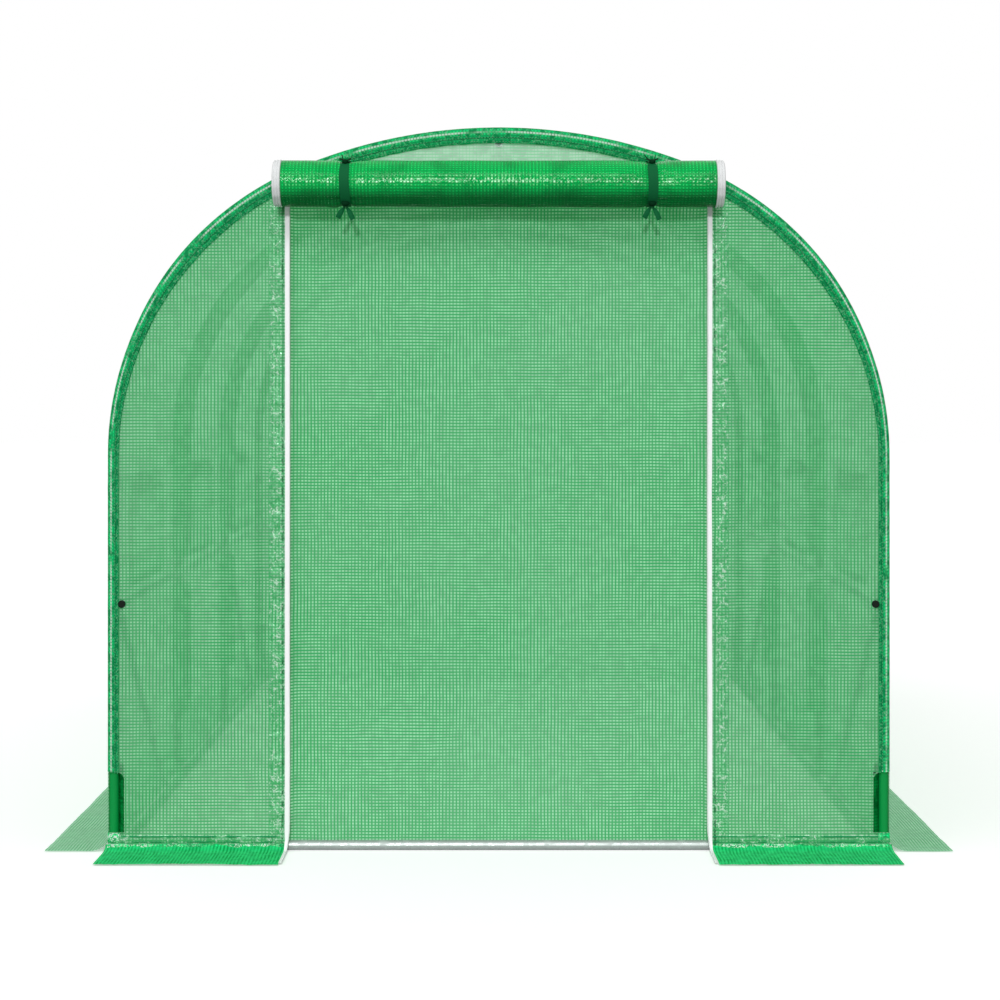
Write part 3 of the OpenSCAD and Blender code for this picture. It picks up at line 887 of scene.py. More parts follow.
class TUNNEL_OT_cover(bpy.types.Operator):
    """Stretch the cover over the hoops, from the left foot to the right, with its windows cut out"""

    bl_idname = "tunnel.cover"
    bl_label = "Cover"

    # How far the sheet sags between two hoops, and how much more it sags over the crown
    SAG, CROWN_SAG = 0.003, 0.011

    def execute(self, context):
        s = context.scene.tunnel_sizes
        arch, off = Arch(s), s.cover_offset
        girth = arch.length(off)
        low, high = node_box("roof_sheet")
        ys, centres = hoop_y(), bay_middles()
        edges = [c + k * s.window_half for c in centres for k in (-1, 1)]
        levels = (s.window_sill, s.window_head, s.leg_height)
        step = 0.022
        along = marks(0.0, girth, step, *levels, *(girth - z for z in levels))
        back = marks(low[1], high[1], step, *ys, *edges)
        x, z, nx, nz = (v[:, None] for v in arch.at(along, off))
        y = back[None, :]
        t = np.clip((y - ys[0]) / s.bay, 0, len(centres) - 1e-9) % 1.0
        hang = 4 * t * (1 - t)
        depth = self.SAG + self.CROWN_SAG * smooth((z - 0.75) / 0.9)
        slack = 0.0024 * (1 + waves(along[:, None] * 1.9, y * 2.2, 31))
        tucks = 0.0022 * abs(wave(y * 15, z * 2.5, 37)) * np.exp(-z / 0.22)
        pulls = 0.0016 * abs(wave(y * 3, along[:, None] * 12, 41)) * np.exp(-hang * 5)
        sag = hang * (depth + slack) + np.minimum(hang * 6, 1) * (tucks + pulls)
        middle = (along[:-1] + along[1:]) / 2
        height = np.minimum(middle, girth - middle)[:, None]
        mid_y = ((back[:-1] + back[1:]) / 2)[None, :]
        in_window = (height > s.window_sill) & (height < s.window_head)
        in_window = in_window & np.any([abs(mid_y - c) < s.window_half for c in centres], axis=0)
        patch = Patch((x - nx * sag, y, z - nz * sag), (along[:, None], y), ~in_window, flip=True)
        nodes = ("left_wall_sheet", "roof_sheet", "right_wall_sheet")
        cover = sheet_piece("cover", [patch], "cover", "cover_sheet", *nodes)
        length_y = float(high[1] - low[1])
        windows = 2 * len(centres)
        holes = windows * 2 * s.window_half * (s.window_head - s.window_sill)
        length_y * girth - holes
        return {"FINISHED"}


class TUNNEL_OT_end_panels(bpy.types.Operator):
    """Hang the front panels, the gable and the back panel"""

    bl_idname = "tunnel.end_panels"
    bl_label = "End panels"

    def execute(self, context):
        s = context.scene.tunnel_sizes
        arch = Arch(s)
        self.step = 0.011
        for side, name in ((LEFT, "front_left_panel"), (RIGHT, "front_right_panel")):
            self.front_panel(s, arch, side, name)
        self.gable(s, arch)
        self.back_panel(s, arch)
        return {"FINISHED"}

    def slot_marks(self, s):
        outer = s.half_span + s.cover_offset
        return outer, outer - s.slot_width, hole_marks(s.rail_x, s.cap_hole)

    def slot_cells(self, s, rows, columns):
        """Which cells of a panel lie in a corner slot. Columns are distances from the middle."""
        middle = (rows[:-1] + rows[1:])[None, :] / 2
        across = abs(columns[:-1] + columns[1:])[:, None] / 2
        inner = s.half_span + s.cover_offset - s.slot_width
        return (across > inner) & (middle > s.slot_foot) & (middle < s.slot_top)

    def front_panel(self, s, arch, side, name):
        inner = s.door_half + s.zip_width / 2
        outer, slot, hole = self.slot_marks(s)
        top = float(arch.height(inner, s.cover_offset))
        rows = end_rows(s, top, self.step)
        columns = marks(inner, outer, self.step, slot, *hole)
        share = ((columns - inner) / (outer - inner))[:, None]
        z = rows[None, :]
        x = inner + share * (arch.half_width(z, s.cover_offset) - inner)
        y = panel_y(s, arch, side * x, z, FRONT)
        keep = ~self.slot_cells(s, rows, columns)
        patch = Patch((side * x, y, z), (side * x, z), keep, flip=side == LEFT)
        punch(patch, (side * s.rail_x, s.rail_z), s.cap_hole)
        patches = [patch, slot_corner(s, arch, side, FRONT)]
        panel = sheet_piece(name.replace("panel", "sheet"), patches, "panel", "cover_sheet", name)
        self.cut(panel)

    def gable(self, s, arch):
        half = s.door_half + s.zip_width / 2
        columns = marks(-half, half, self.step)[:, None]
        share = np.linspace(0, 1, 17)[None, :]
        top = arch.height(columns, s.cover_offset)
        z = s.door_top + share * (top - s.door_top)
        y = panel_y(s, arch, columns, z, FRONT)
        patch = Patch((columns, y, z), (columns, z))
        gable = sheet_piece("front_gable_sheet", [patch], "gable", "cover_sheet", "front_gable_panel")
        self.cut(gable)

    def back_panel(self, s, arch):
        outer, slot, hole = self.slot_marks(s)
        top = float(arch.height(0.0, s.cover_offset))
        step = self.step * 1.6
        rows = end_rows(s, top - 0.0005, step)
        columns = marks(-outer, outer, step, -slot, slot, *hole, *(-h for h in hole))
        z = rows[None, :]
        x = columns[:, None] / outer * arch.half_width(z, s.cover_offset)
        y = panel_y(s, arch, x, z, BACK)
        patch = Patch((x, y, z), (x, z), ~self.slot_cells(s, rows, columns), flip=True)
        for side in (LEFT, RIGHT):
            punch(patch, (side * s.rail_x, s.rail_z), s.cap_hole)
        corners = [slot_corner(s, arch, side, BACK) for side in (LEFT, RIGHT)]
        panel = sheet_piece("back_sheet", [patch, *corners], "panel", "cover_sheet", "back_panel")
        self.cut(panel)

    def cut(self, obj):
        """The area of the flat outline, from its UV map, which is in metres."""
        uv = obj.data.uv_layers[0].data
        total = 0.0
        for face in obj.data.polygons:
            ring = [uv[k].uv for k in face.loop_indices]
            total += abs(sum(a.x * b.y - b.x * a.y for a, b in zip(ring, ring[1:] + ring[:1]))) / 2
        return total


class TUNNEL_OT_edge_bands(bpy.types.Operator):
    """Sew the doubled bands over the end hoops, drawn up by their stitching"""

    bl_idname = "tunnel.edge_bands"
    bl_label = "Edge bands"

    # Width of a band laid flat
    WIDTH = 0.052
    # Offset out from the tube's centre and distance in front of the panel's face, across the band
    SECTION = (
        (0.0146, -0.0220), (0.0150, -0.0110), (0.0143, -0.0030), (0.0118, 0.0016), (0.0072, 0.0036),
        (0.0010, 0.0040), (-0.0045, 0.0030), (-0.0082, 0.0009), (-0.0112, 0.0022), (-0.0155, 0.0027),
        (-0.0198, 0.0022), (-0.0232, 0.0008),
    )

    def execute(self, context):
        s = context.scene.tunnel_sizes
        arch = Arch(s)
        for end, name in ((FRONT, "front_edge_band"), (BACK, "back_edge_band")):
            band = sheet_piece(name + "_sheet", [self.patch(s, arch, end)], "band", "cover_band", name)
            girth = arch.length(s.cover_offset) - 2 * s.slot_top
            name.split("_")[0] + "_hoop_bow"
        return {"FINISHED"}

    def patch(self, s, arch, end):
        step = 0.006
        girth = arch.length(0.0)
        along = marks(s.slot_top, girth - s.slot_top, step)[:, None]
        off, out = (np.array(v)[None, :] for v in zip(*self.SECTION))
        across = off
        z = arch.at(along, 0.0)[1]
        narrow = band_share(z)
        loose = 0.0036 * smooth((z - 1.25) / 0.30)
        off = np.where(off < 0, off * narrow, off + loose * smooth(off / 0.012))
        seam = np.exp(-(((off + 0.0082 * narrow) / 0.005) ** 2))
        ribs = wave(along * 95, off * 30, 51 + end) * 0.0008 + wave(along * 38, off * 60, 53) * 0.0006
        gather = wave(along * 60, off * 90, 57 + end) * 0.0012 * smooth(-off / 0.012)
        lift = (ribs * smooth((out + 0.02) / 0.015) + gather) * (1 - 0.5 * seam)
        scallop = 0.0010 * wave(along * 42, 0.5, 61 + end) * smooth(-off / 0.020)
        share = along / girth
        x, z, nx, nz = arch.at(share * arch.length(off), off)
        y = end_face(end) + end * (out + np.maximum(lift, -0.0006))
        points = (x + nx * scallop, y, z + nz * scallop)
        return Patch(points, (along + 0 * off, across + 0 * along), flip=end == BACK)


class TUNNEL_OT_hoop_sleeves(bpy.types.Operator):
    """Hang the loose sleeves round the two inner hoops"""

    bl_idname = "tunnel.hoop_sleeves"
    bl_label = "Hoop sleeves"

    # Half the width of a sleeve where it is sewn to the cover, its depth, and the gap left for each rail
    HALF, DEPTH, GAP = 0.042, 0.052, 0.042

    def execute(self, context):
        s = context.scene.tunnel_sizes
        arch = Arch(s)
        for k, hoop in ((1, "second"), (2, "third")):
            y = hoop_y()[k]
            foot = float(node_box(f"{hoop}_hoop_sleeve")[0][2])
            spans = ((foot, s.rail_z - self.GAP), (s.rail_z + self.GAP, arch.length(0.0) / 2 - self.GAP))
            patches = [self.patch(s, arch, y, side, span) for side in (LEFT, RIGHT) for span in spans]
            sleeve = sheet_piece(f"{hoop}_sleeve", patches, "sleeve", "cover_band", f"{hoop}_hoop_sleeve")
            run = 2 * sum(high - low for low, high in spans)
        return {"FINISHED"}

    def section(self):
        """The radius of a sleeve's round section, and how far it reaches round from its innermost point."""
        radius = (self.HALF**2 + self.DEPTH**2) / (2 * self.DEPTH)
        return radius, math.pi - math.asin(self.HALF / radius)

    def patch(self, s, arch, hoop, side, span):
        radius, reach = self.section()
        along = marks(*span, 0.012)[:, None]
        turn = np.linspace(-reach, reach, 19)[None, :]
        ruffle = 0.0016 * wave(along * 45, turn * 1.5, 71 + side) + 0.003 * wave(along * 9, turn, 73)
        r = radius + ruffle * smooth((reach - abs(turn)) * 3)
        off = np.minimum(s.cover_offset - self.DEPTH + radius - r * np.cos(turn), s.cover_offset - 0.0012)
        t = along if side == LEFT else arch.length(0.0) - along
        x, z, nx, nz = arch.at(t + 0 * turn, 0.0)
        points = (x + nx * off, hoop + r * np.sin(turn), z + nz * off)
        return Patch(points, (along + 0 * turn, r * turn), flip=side == RIGHT)


class TUNNEL_OT_skirts(bpy.types.Operator):
    """Lay the skirts on the ground along the sides, the front panels and the back"""

    bl_idname = "tunnel.skirts"
    bl_label = "Skirts"

    # Allowance at the edges, how high the side and end skirts are sewn on, and the width of their bend
    HEM, SIDE_RISE, END_RISE, BEND = 0.012, 0.028, 0.014, 0.052

    def execute(self, context):
        s = context.scene.tunnel_sizes
        half = s.half_span + s.cover_offset + 0.0007
        front, back = end_face(FRONT), end_face(BACK)
        inner = s.door_half + s.zip_width / 2
        flare, reach = half + 0.005, s.end_skirt + self.HEM
        start, run = front - self.HEM, back - front + 2 * self.HEM
        jobs = (
            ("left_skirt", "skirt", (-half, start), (0, 1), (-1, 0), run, s.side_skirt),
            ("right_skirt", "skirt", (half, start), (0, 1), (1, 0), run, s.side_skirt),
            ("front_left_skirt", "apron", (-flare, front), (1, 0), (0, -1), flare - inner, reach),
            ("front_right_skirt", "apron", (inner, front), (1, 0), (0, -1), flare - inner, reach),
            ("back_skirt", "apron", (-flare, back), (1, 0), (0, 1), 2 * flare, reach),
        )
        for k, (name, finish, corner, way, out, run, width) in enumerate(jobs):
            self.skirt(name, finish, corner, way, out, float(run), width, 100 + 7 * k)
        return {"FINISHED"}

    def skirt(self, name, finish, start, way, out, run, width, seed):
        """A skirt from its seam on the panel down to the ground. Those at the ends are gathered."""
        step = 0.014
        gathered = finish == "apron"
        rise = self.END_RISE if gathered else self.SIDE_RISE
        along = marks(0.0, run, 0.003 if gathered else step)[:, None]
        near = self.BEND * (1 - np.cos(np.linspace(0, math.pi / 2, 9)))
        away = np.concatenate([near, marks(self.BEND, width, step)[1:]])[None, :]
        curve = 1 - np.sqrt(np.clip(1 - (1 - np.clip(away / self.BEND, 0, 1)) ** 2, 0, 1))
        ease = smooth(away / 0.08)
        ripple = 0.0016 * (1 + waves(along * 7, away * 9, seed)) * ease
        outer_half = smooth((away - width * 0.5) / (width * 0.5))
        edge = 0.0035 * np.clip(wave(along * 4.5, away * 3, seed + 3), 0, 1) * outer_half
        rib = 0.0006 * wave(along * 55, away * 5, seed + 5)
        pleat = 0.0
        if gathered:
            pleat = np.clip(wave(along * 95 + away * 14, away * 6, seed + 8) * 0.5 + 0.5, 0, 1)
        z = 0.0016 + rise * curve + ripple + edge + rib * ease + 0.0026 * pleat * (1 - 0.6 * away / width)
        wander = 0.0018 * wave(along * 5, 0.5, seed + 6) * (away / width)
        x = start[0] + way[0] * along + out[0] * (away + wander)
        y = start[1] + way[1] * along + out[1] * (away + wander)
        turn = way[0] * out[1] - way[1] * out[0]
        uv = (x, y) if way[0] else (y, x)
        patch = Patch((x, y, z), uv, flip=turn < 0)
        skirt = sheet_piece(name + "_sheet", [patch], finish, "cover_sheet", name)
        width + self.HEM


class TUNNEL_OT_hems(bpy.types.Operator):
    """Sew the doubled hems beside the zips, along the foot of the end panels and at the corner slots"""

    bl_idname = "tunnel.hems"
    bl_label = "Hems"

    # Lower edge of the hems, width of the foot hem, levels of its two sewn lines and width of a line
    FOOT, FOOT_WIDTH, LINES, LINE_WIDTH = 0.012, 0.030, (0.0350, 0.0215), 0.004
    # Width of the ruffled edges, width of the tufts at the corners, and width of a leg pocket laid flat
    RUFFLE_WIDTH, TUFT_WIDTH, POCKET_WIDTH = 0.018, 0.030, 0.074

    def execute(self, context):
        s = context.scene.tunnel_sizes
        arch = Arch(s)
        inner = s.door_half + s.zip_width / 2
        outer = s.half_span + s.cover_offset
        fine = 0.004
        patches = []
        for side in (LEFT, RIGHT):
            rows = marks(self.FOOT, s.door_top, fine)[None, :]
            share = np.linspace(0, 1, 9)[:, None]
            patches.append(self.strip(s, arch, side, inner + share * s.zip_hem, rows, share, 211 + side))
        hems = sheet_piece("zip_hems", patches, "hem", "cover_band")
        feet, seams, edges, pockets = [], [], [], []
        for side in (LEFT, RIGHT):
            columns = marks(inner, outer, fine)[:, None]
            share = np.linspace(0, 1, 8)[None, :]
            level = self.FOOT + share * self.FOOT_WIDTH
            feet.append(self.strip(s, arch, side, columns, level, share, 223 + side, True))
            for line in self.LINES:
                level = line + share * self.LINE_WIDTH
                seams.append(self.strip(s, arch, side, columns, level, share, 227 + side, True, 1.6))
            level = 0.002 + share * self.RUFFLE_WIDTH
            edges.append(self.strip(s, arch, side, columns, level, share, 229 + side, True, 3.0))
            columns = marks(outer - self.TUFT_WIDTH, outer, fine)[:, None]
            level = 0.022 + share * 0.024
            edges.append(self.strip(s, arch, side, columns, level, share, 231 + side, True, 2.6))
            edges.append(self.slot_lip(s, side))
            pockets += [self.pocket(s, side, end) for end in (FRONT, BACK)]
        hems = sheet_piece("foot_hems", feet, "hem", "cover_band")
        lines = sheet_piece("foot_seams", seams, "seam", "cover_band")
        ruffles = sheet_piece("ruffled_edges", edges, "ruffle", "cover_band")
        sewn_strips(ruffles, self.RUFFLE_WIDTH)
        backs = sheet_piece("leg_pockets", pockets, "pocket", "cover_band")
        sewn_strips(backs, self.POCKET_WIDTH)
        return {"FINISHED"}

    def strip(self, s, arch, side, x, z, share, seed, level=False, depth=1.0):
        """A strip of sheet in front of a panel, puckered between its two sewn edges.

        share runs from 0 to 1 across the strip, which runs level or upright, and depth is how far it puffs.
        """
        x, z, share = np.broadcast_arrays(x, z, share)
        along, across = (x, z) if level else (z, x)
        puff = 4 * share * (1 - share)
        pucker = 0.0011 * wave(along * 75, across * 40, seed)
        pucker = pucker + 0.0012 * wave(along * 31, across * 25, seed + 2)
        lift = 0.0009 + depth * (0.0012 * puff + np.maximum(pucker, -0.0008) * (0.35 + 0.65 * puff))
        y = panel_y(s, arch, side * x, z, FRONT) - lift
        return Patch((side * x, y, z), (side * x, z), flip=side == LEFT)

    def pocket(self, s, side, end):
        """The back of the pocket that holds a leg, seen through the corner slot."""
        turn = np.linspace(0.0, math.pi, 17)
        r = s.tube_radius + 0.0012
        hoop = hoop_y()[0 if end == FRONT else -1]
        wall = [s.half_span - s.slot_width / 2, s.half_span - s.slot_width * 0.66]
        x = np.concatenate([s.half_span + r * np.cos(turn), wall])[:, None]
        y = (hoop - end * np.concatenate([r * np.sin(turn), [-0.005, -s.tube_radius]]))[:, None]
        z = marks(s.slot_foot - 0.020, s.slot_top + 0.020, 0.012)[None, :]
        return Patch((side * x, y, z), (x + y, z), flip=(side == RIGHT) == (end == FRONT))

    def slot_lip(self, s, side):
        """The white rolled lip above a corner slot, round the front of the leg."""
        turn = np.linspace(-0.25, math.pi * 0.75, 15)[:, None]
        share = np.linspace(-1, 1, 7)[None, :]
        r = s.tube_radius + 0.0030 + 0.0012 * (1 - share**2) + 0.0006 * wave(turn * 6, share, 241 + side)
        x = s.half_span + r * np.cos(turn)
        y = hoop_y()[0] - r * np.sin(turn)
        z = s.slot_top + 0.002 + 0.0022 * share
        return Patch((side * x, y, z), (r * turn, z), flip=side == RIGHT)


class TUNNEL_OT_net_door(bpy.types.Operator):
    """Hang the inner net door behind the tube at the doorway's foot"""

    bl_idname = "tunnel.net_door"
    bl_label = "Net door"

    # How far the net stays inside its CAD node, and the widths of the edges that are drawn forward
    INSET, SIDE_EDGE, HEAD_EDGE = 0.0008, 0.040, 0.050

    def execute(self, context):
        low, high = node_box("inner_net_door")
        step = 0.011
        half, rear, top = (float(v) - self.INSET for v in high)
        x = marks(-half, half, step)[:, None]
        z = marks(float(low[2]), top, step)[None, :]
        flat = 0.002
        side = smooth((abs(x) - (half - self.SIDE_EDGE)) / (self.SIDE_EDGE - flat))
        head = smooth((z - (top - self.HEAD_EDGE)) / (self.HEAD_EDGE - flat))
        forward = np.maximum(side * smooth((z - 0.035) / 0.05), head)
        folds = 0.004 * (1 + waves(x * 4.5, z * 0.9, 301, 2)) + 0.002 * (1 + wave(x * 13, z * 2.5, 305))
        folds = folds * smooth((z - 0.02) / 0.3) * (1 - forward)
        y = rear + folds + (float(low[1]) + 0.0006 - rear) * forward
        net = sheet_piece("net_door_sheet", [Patch((x, y, z), (x, z))], "net", "net", "inner_net_door")
        top - float(low[2])
        return {"FINISHED"}


class TUNNEL_OT_rolled_door(bpy.types.Operator):
    """Roll up the door above the doorway, with its white zip tape at the ends"""

    bl_idname = "tunnel.rolled_door"
    bl_label = "Rolled door"

    # Turns that take up as much sheet as the doorway is high
    TURNS = 6.5
    # Turns before the sheet begins to wind inwards
    LAID = 0.55
    # How wide and how deep a tie squeezes the roll, and how far and how deep the sheet pleats beside it
    SQUEEZE_WIDTH, SQUEEZE_DEPTH, PLEAT_WIDTH, PLEAT_DEPTH = 0.017, 0.0052, 0.045, 0.0040
    # How far the tape at the ends of the roll stays inside its CAD node
    TAPE_INSET = 0.006

    def execute(self, context):
        s = context.scene.tunnel_sizes
        half = float(node_box("rolled_door")[1][0])
        tip = float(node_box("rolled_zip_ends")[1][0]) - self.TAPE_INSET
        step = 0.009
        near = [side * s.tie_x + k * 0.004 for side in (LEFT, RIGHT) for k in range(-8, 9)]
        x = marks(-half, half, step, *near)[:, None]
        roll = sheet_piece("door_roll", [self.spiral(s, x, 0.0)], "roll", "rolled_sheet", "rolled_door")
        ends = []
        for side in (LEFT, RIGHT):
            share = np.linspace(0, 1, 25)[:, None]
            ridges = 0.0036 * abs(np.sin(share * math.pi * 3)) - 0.0020 * share**2 - 0.0016
            ends.append(self.spiral(s, side * (half + share * (tip - half)), ridges, side == LEFT))
        tapes = sheet_piece("roll_zip_ends", ends, "roll_end", "zip_tape", "rolled_zip_ends")
        sewn_strips(tapes, area_of(tapes) / (2 * s.door_top))
        return {"FINISHED"}

    def beside_ties(self, s, x, width):
        """1 at the two ties, and falling off to nothing over about this width."""
        return sum(np.exp(-(((x - side * s.tie_x) / width) ** 2)) for side in (LEFT, RIGHT))

    def spiral(self, s, x, grow, flip=False):
        """The sheet wound from its seam behind the roll over the top, down the front and in to the core."""
        middle_y = float(node_box("rolled_door")[1][1]) - s.roll_radius
        turn = np.linspace(0, 2 * math.pi * self.TURNS, int(44 * self.TURNS))[None, :]
        wound = np.maximum(turn / (2 * math.pi) - self.LAID, 0)
        outer = smooth(1.4 - wound)
        ties, near = self.beside_ties(s, x, self.SQUEEZE_WIDTH), self.beside_ties(s, x, self.PLEAT_WIDTH)
        pleats = self.PLEAT_DEPTH * outer * near * (1 - ties) * wave(turn * 4.2, x * 22, 401)
        ripple = 0.0009 * wave(turn * 2.2, x * 14, 403) + 0.0015 * wave(turn * 1.3, x * 3.0, 405)
        crease = 0.0030 * np.exp(-(((turn - 4.05) / 0.16) ** 2))
        crease = crease + 0.0016 * np.exp(-(((turn - 3.60) / 0.10) ** 2))
        r = s.roll_radius + 0.0006 - s.roll_pitch * wound - self.SQUEEZE_DEPTH * ties
        r = r + pleats + ripple - crease + grow
        r = np.minimum(r, s.roll_radius + 0.0014 + grow)
        telescoped = 0.0012 * wound * np.sign(x) * smooth((abs(x) - 0.5) / 0.08)
        y = middle_y + r * np.cos(turn)
        z = s.roll_height + r * np.sin(turn)
        steps = np.diff(turn[0]) * (s.roll_radius - s.roll_pitch * wound[0][1:])
        along = np.concatenate([[0.0], np.cumsum(steps)])[None, :]
        return Patch((x - telescoped, y + 0 * x, z + 0 * x), (x + 0 * turn, along + 0 * x), flip=flip)


class TUNNEL_OT_roll_ties(bpy.types.Operator):
    """Tie the roll up with two ribbons, knotted above and below it"""

    bl_idname = "tunnel.roll_ties"
    bl_label = "Roll ties"

    def execute(self, context):
        s = context.scene.tunnel_sizes
        cy, cz = float(node_box("rolled_door")[1][1]) - s.roll_radius, s.roll_height
        for side, name in ((LEFT, "left_roll_tie"), (RIGHT, "right_roll_tie")):
            ribbons, knots = list(self.patches(s, side, cy, cz)), list(self.knots(s, side, cy, cz))
            tie = sheet_piece(name + "_ribbon", ribbons, "ribbon", "tie_ribbon", name)
            knots = sheet_piece(name + "_knots", knots, "knot", "tie_ribbon")
            sewn_strips(tie, s.tie_width)
        return {"FINISHED"}

    def ribbon(self, path, widths, cross, bow=0.0):
        """A ribbon along a path. cross is the direction across it, and bow how far it bulges forwards."""
        cross = np.array(cross, float)
        share = np.linspace(-0.5, 0.5, 7)[None, :, None]
        points = path[:, None, :] + cross * share * widths[:, None, None]
        points[..., 1] -= bow * (1 - (2 * share[..., 0]) ** 2)
        uv = (share[..., 0] * widths[:, None], lengths_along(path)[:, None])
        return Patch((points[..., 0], points[..., 1], points[..., 2]), uv)

    def patches(self, s, side, cy, cz):
        x0 = side * s.tie_x
        turn = np.linspace(0, 2 * math.pi, 73)
        r = s.roll_radius - 0.0008 + 0.0004 * np.sin(turn * 5 + side)
        lean = 0.0015 * np.sin(turn * 2 + side)
        ring = np.stack([x0 + lean, cy + r * np.cos(turn), cz + r * np.sin(turn)], axis=1)
        width = s.tie_width * (1 - 0.30 * np.exp(-(((turn - 1.5 * math.pi) / 0.35) ** 2)))
        width *= 1 - 0.35 * np.exp(-(((turn - 0.62 * math.pi) / 0.30) ** 2))
        yield self.ribbon(ring, width, (1.0, 0.0, 0.0))
        foot = self.on_roll(s, x0, cy, cz, 1.40, 0.001)
        for way, tail in ((-1, 0.028), (1, 0.032)):
            t = np.linspace(0, 1, 14)
            sideways = way * (0.002 + 0.017 * t**0.8)
            fall = np.stack([sideways, -0.006 * np.sin(t * 2.4), -0.003 - tail * t], axis=1)
            cross = (math.cos(0.5), 0.25, way * math.sin(0.5))
            yield self.ribbon(foot + fall, 0.006 + 0.007 * smooth(t * 2), cross, 0.0015)

    def on_roll(self, s, x, cy, cz, turn, lift):
        """A point on the roll, at a share of a half turn from its back over the top."""
        r = s.roll_radius + lift
        return np.array([x, cy + r * math.cos(turn * math.pi), cz + r * math.sin(turn * math.pi)])

    def knots(self, s, side, cy, cz):
        """The knot below the roll, and the bow on top with the two strings that come down from the band."""
        x0 = side * s.tie_x
        yield from self.knot(self.on_roll(s, x0, cy, cz, 1.33, 0.001), 0.0090)
        head = self.on_roll(s, x0, cy, cz, 0.66, 0.002)
        yield from self.knot(head, 0.0075)
        for way in (-1, 1):
            t = np.linspace(0, 1, 16)
            swell = np.sin(t * math.pi)
            out, up = -0.005 * np.sin(t * math.pi * 2), 0.002 + 0.006 * swell
            loop = np.stack([way * 0.015 * swell, out, up], axis=1)
            yield self.ribbon(head + loop, np.full(16, 0.008), (0.0, 0.8, 0.6))
            sideways, up = way * (0.002 + 0.012 * t), 0.004 + 0.022 * t - 0.004 * swell
            string = np.stack([sideways, 0.070 * t, up], axis=1)
            yield self.ribbon(head + string, np.full(16, 0.003), (0.8, 0.0, 0.6))

    def knot(self, centre, radius):
        u = np.linspace(0, 2 * math.pi, 19)[:, None]
        v = np.linspace(-math.pi / 2, math.pi / 2, 11)[None, :]
        r = radius * (1 + 0.12 * np.cos(u * 3 + v * 2))
        x = centre[0] + 1.1 * r * np.cos(u) * np.cos(v)
        y = centre[1] + 0.9 * r * np.sin(u) * np.cos(v)
        z = centre[2] + 0.8 * r * np.sin(v)
        yield Patch((x, y, z), (radius * u + 0 * v, radius * v + 0 * u))


class TUNNEL_OT_door_zips(bpy.types.Operator):
    """Sew the white zips beside the doorway and along the edges of the skirts"""

    bl_idname = "tunnel.door_zips"
    bl_label = "Door zips"

    # Height of the tape on the ground, and the size of its bend at the foot of the doorway
    GROUND, BEND = 0.0050, 0.030
    # Pitch, length and radius of the links of a zip's coil
    PITCH, LINK, RADIUS = 0.0026, 0.0015, 0.0019

    def execute(self, context):
        s = context.scene.tunnel_sizes
        arch = Arch(s)
        coils = []
        for side, name in ((LEFT, "left_door_zip"), (RIGHT, "right_door_zip")):
            path = self.path(s, arch, side)
            share = np.linspace(-0.5, 0.5, 5)[None, :]
            wander = (0.0012 * wave(path[:, 2] * 3, path[:, 1] * 3, 501 + side))[:, None]
            width = s.zip_width * (0.55 + 0.45 * smooth(path[:, 2:3] / 0.06))
            x = side * (s.door_half + (s.zip_width - width) / 2) + wander - side * share * width
            along = lengths_along(path)[:, None]
            uv = (share * s.zip_width + 0 * along, along + 0 * share)
            patch = Patch((x, path[:, 1:2], path[:, 2:3]), uv, flip=side == RIGHT)
            zip_tape = sheet_piece(name + "_tape", [patch], "tape", "zip_tape", name)
            panel = "front_left_sheet" if side == LEFT else "front_right_sheet"
            float(along[-1, 0])
            lifted = path + self.outward(path) * 0.0012
            coils.append(np.stack([x[:, -1], lifted[:, 1], lifted[:, 2]], axis=1))
        pitch = self.PITCH
        coil = rods_along("zip_coils", coils, pitch, self.LINK, self.RADIUS, Finishes.get("coil"), 7)
        settle(coil, "zip_tape")
        return {"FINISHED"}

    def path(self, s, arch, side):
        """Down the doorway's edge, round at the foot and out along the skirt's edge."""
        tip = float(node_box("front_left_skirt")[0][1]) + 0.001
        z = marks(self.BEND, s.door_top + 0.010, 0.02)[::-1]
        y = panel_y(s, arch, side * (s.door_half + s.zip_width), z, FRONT) - 0.0016
        bend = np.linspace(0, math.pi / 2, 10)[1:]
        by = y[-1] - self.BEND * (1 - np.cos(bend))
        bz = self.GROUND + (self.BEND - self.GROUND) * (1 - np.sin(bend))
        gy = marks(tip, float(by[-1]), 0.02)[::-1][1:]
        gz = self.GROUND + 0.0008 * wave(gy * 20, 0.5, 511 + side)
        y, z = np.concatenate([y, by, gy]), np.concatenate([z, bz, gz])
        return np.stack([np.zeros(len(z)), y, z], axis=1)

    def outward(self, path):
        along = np.gradient(path, axis=0)
        along /= np.linalg.norm(along, axis=1)[:, None]
        return np.stack([np.zeros(len(path)), along[:, 2], -along[:, 1]], axis=1)


